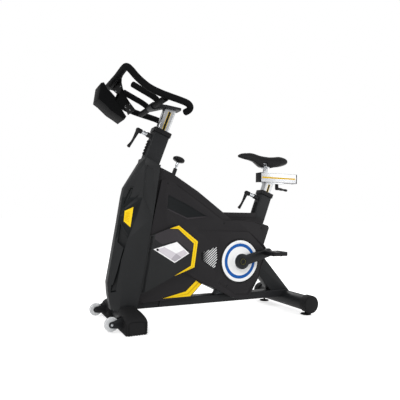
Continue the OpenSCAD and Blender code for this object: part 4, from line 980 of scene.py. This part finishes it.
for side, name in SIDES:
    cx = CRANK[0] - side * CRANK_LENGTH * math.cos(CRANK_TURN)
    cz = CRANK[1] - side * CRANK_LENGTH * math.sin(CRANK_TURN)
    section = ((0, -8.4), (0, 8.4), (1.6, 10), (9.4, 10), (11, 8.4), (11, -8.4), (9.4, -10), (1.6, -10))
    rows = []
    for inset, z in section:
        loop = rounded_loop(PEDAL_L / 2 - inset, PEDAL_W / 2 - inset, 12 - inset * 0.8)
        rows.append([(cx + x, side * (PEDAL_Y + y), cz + z) for x, y in loop])
    bm = skin(bmesh.new(), rows, closed=True)
    # gripping teeth on both faces, ribs to the barrel, and the barrel
    for x in (-40.5, 40.5):
        for k in range(7):
            tooth = Matrix.Translation((cx + x, side * (PEDAL_Y - 36 + k * 12), cz))
            for up in (-1, 1):
                lathe([(2.6, up * 9.6), (1.9, up * 11.4), (0, up * 11.9)], tooth, 10, bm)
    for y in (-24, 0, 24):
        for ends in ((-37, -9), (9, 37)):
            prism(*[[(cx + x, side * (PEDAL_Y + y + w), cz + z)
                     for w, z in ((-2.5, -7.5), (2.5, -7.5), (2.5, 7.5), (-2.5, 7.5))] for x in ends], bm)
    barrel = [(7.3, 118.2), (10.6, 118.2), (11.8, 119.4), (11.8, 126), (10.2, 130), (10.2, 204),
              (11.8, 207), (11.8, 213.4), (10.4, 214.8), (4.4, 214.8), (4, 213.6), (0, 213.6)]
    lathe(barrel, sideways((cx, cz), side), 40, bm)
    make_piece("pedal_cage_" + name, bm, black_nylon, "pedal_" + name, ["pedal_" + name], 30)
eased("pedal_axles", ["pedal_spindles"], turned_steel, "crankset", 0.6)

# ---- saddle ----

# stations: X from the tilt axis, half width, underside, widest height, crown, and dip between the cheeks
SADDLE = [(-180, 7, 40, 46, 49, 0), (-175, 13, 38, 47, 54, 0), (-163, 18, 36, 47, 60, 0),
          (-140, 21, 34, 47, 63, 0), (-106, 24, 29, 45, 64, 0), (-80, 27, 22, 41, 60, 0),
          (-60, 31, 9, 36, 55, 0), (-42, 35, -3, 33, 51, 0), (-24, 41, -9, 30, 48, 0),
          (10, 55, -8, 24, 46, 1), (35, 66, -7, 22, 48, 3), (60, 74, -4, 22, 52, 5),
          (86, 75, 2, 23, 53, 6), (103, 70, 6, 24, 51, 6), (111, 61, 8, 25, 47, 5), (114, 48, 11, 26, 41, 3)]
VOXEL, PRESSURE, FRAMES, CAP = 4.5 * MM, 4, 20, 4 * MM
rows = []
for x, half, low, wide_z, crown, dip in SADDLE:
    row = []
    for k in range(36):
        out, up = math.cos(k * math.tau / 36), math.sin(k * math.tau / 36)
        y = half * math.copysign(abs(out) ** 0.8, out)
        z = wide_z + (crown - wide_z if up > 0 else wide_z - low) * math.copysign(abs(up) ** 0.9, up)
        z -= dip * math.exp(-(y / 20) ** 2) if up > 0 else 0
        row.append((TILT[0] + x, y, TILT[1] + z))
    rows.append(row)
bm = skin(bmesh.new(), rows)
bmesh.ops.recalc_face_normals(bm, faces=bm.faces)
saddle = to_object(bm, "saddle_cover")
remesh = saddle.modifiers.new("remesh", "REMESH")
remesh.mode = "VOXEL"
remesh.voxel_size = VOXEL
apply_modifiers(saddle)
# the foam swells its cover a little, and no point goes further than the cap
before = [v.co.copy() for v in saddle.data.vertices]
cloth = saddle.modifiers.new("foam", "CLOTH")
cloth.settings.use_pressure = True
cloth.settings.uniform_pressure_force = PRESSURE
cloth.settings.effector_weights.gravity = 0
cloth.settings.quality = 6
for step in range(1, FRAMES + 1):
    scene.frame_set(step)
apply_modifiers(saddle)
scene.frame_set(1)
for v, start in zip(saddle.data.vertices, before):
    move = v.co - start
    v.co = start + move * min(1, CAP / max(move.length, 1e-9))
saddle.modifiers.new("finer", "SUBSURF").levels = 1
apply_modifiers(saddle)
# hollow underneath, and a notch in each flank for the clamp
hollow = [(-31, -40), (88, -40), (88, 16.5), (-31, 17)]
notch = [(-30, -40), (-6, -40), (-8, 10), (-12, 16), (-24, 17), (-29, 11)]
carve(saddle, [], [side_prism(hollow, -31, 31, 1, TILT)]
      + [side_prism(notch, 24, 80, side, TILT) for side in (-1, 1)])
finish_piece(saddle, saddle_leather, "saddle_top", ["saddle"], 50)
paint(saddle, black_nylon, lambda c, n: n.z < -0.75)

# clamp head that grips the two wires
head = [(-16, 5), (-17, 8), (-17, 17), (-14, 20), (14, 20), (17, 17), (17, 8), (16, 5)]
bm = side_prism(head, -19, 19, 1, TILT)
bmesh.ops.bevel(bm, geom=bm.edges[:], offset=1.2, segments=2, affect="EDGES")
make_piece("saddle_clamp_head", bm, turned_steel, "saddle_top")

# welted seam along each flank of the saddle
flanks = BVHTree.FromPolygons([v.co for v in saddle.data.vertices],
                              [list(f.vertices) for f in saddle.data.polygons])
for side, name in SIDES:
    path = []
    for x, half, low, wide_z, crown, dip in SADDLE[2:14]:
        start = Vector((TILT[0] + x, side * (half + 30), TILT[1] + wide_z + (crown - wide_z) * 0.25)) * MM
        hit = flanks.ray_cast(start, Vector((0, -side, 0)))[0]
        if hit:
            path.append(hit / MM)
    bm = tube(bmesh.new(), spline(path, 5), 1.1, 12, (0, 0, 1))
    make_piece("saddle_welt_" + name, bm, black_nylon, "saddle_top", [], 50)

# ---- CAD nodes that stay showing, mostly behind the covers ----

for node, mat in (("front_upright", primer), ("bottom_bracket", primer), ("bearings", turned_steel),
                  ("flywheel_brackets", powder_coat), ("drive_belt", belt_rubber),
                  ("crank_spindle", turned_steel), ("drive_pulley", anodised_black),
                  ("flywheel", cast_iron), ("flywheel_axle", turned_steel),
                  ("idler_wheel", turned_steel), ("magnet_arm", primer)):
    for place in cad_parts[node].material_slots:
        place.link = "OBJECT"
        place.material = mat

# ---- studio ----

# white floor, a little brighter to the camera and in reflections than its light makes it
WHITE = (1, 1, 1, 1)
floor_mat, tree, shader = new_material("studio_white",
                                       {"Roughness": 0.9, "Base Color": (0.82, 0.82, 0.82, 1)})
ray = add_node(tree, "ShaderNodeLightPath")
seen = add_node(tree, "ShaderNodeMath", {"operation": "MAXIMUM"}, {},
                {0: (ray, "Is Camera Ray"), 1: (ray, "Is Glossy Ray")})
glow = add_node(tree, "ShaderNodeEmission", {}, {"Color": WHITE, "Strength": 0.62})
pick = add_node(tree, "ShaderNodeMixShader", {}, {}, {0: (seen, "Value"), 2: (glow, "Emission")})
both = add_node(tree, "ShaderNodeAddShader", {}, {}, {0: (shader, "BSDF"), 1: (pick, "Shader")})
tree.links.new(both.outputs["Shader"], tree.nodes["Material Output"].inputs["Surface"])

bm = bmesh.new()
bmesh.ops.create_grid(bm, x_segments=1, y_segments=1, size=30)
floor = to_object(bm, "floor", 1)
floor.data.materials.append(floor_mat)

# the world lights softly, and is white to the camera and through the wheels
world = bpy.data.worlds.new("studio")
scene.world = world
world.use_nodes = True
tree = world.node_tree
back = tree.nodes["Background"]
back.inputs["Color"].default_value = WHITE
back.inputs["Strength"].default_value = 0.6
white = add_node(tree, "ShaderNodeBackground", {}, {"Color": WHITE, "Strength": 1.0})
ray = add_node(tree, "ShaderNodeLightPath")
seen = add_node(tree, "ShaderNodeMath", {"operation": "MAXIMUM"}, {},
                {0: (ray, "Is Camera Ray"), 1: (ray, "Is Transmission Ray")})
swap = add_node(tree, "ShaderNodeMixShader", {}, {},
                {0: (seen, "Value"), 1: (back, "Background"), 2: (white, "Background")})
tree.links.new(swap.outputs["Shader"], tree.nodes["World Output"].inputs["Surface"])


def softbox(name, place, aim, size, watts):
    """Round area light turned to a point."""
    light = bpy.data.objects.new(name, bpy.data.lights.new(name, "AREA"))
    light.data.shape = "DISK"
    light.data.size = size
    light.data.energy = watts
    light.location = place
    light.rotation_euler = (Vector(aim) - Vector(place)).to_track_quat("-Z", "Y").to_euler()
    scene.collection.objects.link(light)


softbox("key", (-2.6, -3.0, 3.2), (0, 0, 0.5), 2.2, 86)
softbox("fill", (2.8, -2.6, 1.6), (0, 0, 0.5), 2.4, 27)
softbox("rim", (1.2, 3.0, 2.6), (0, 0, 0.6), 2.0, 52)
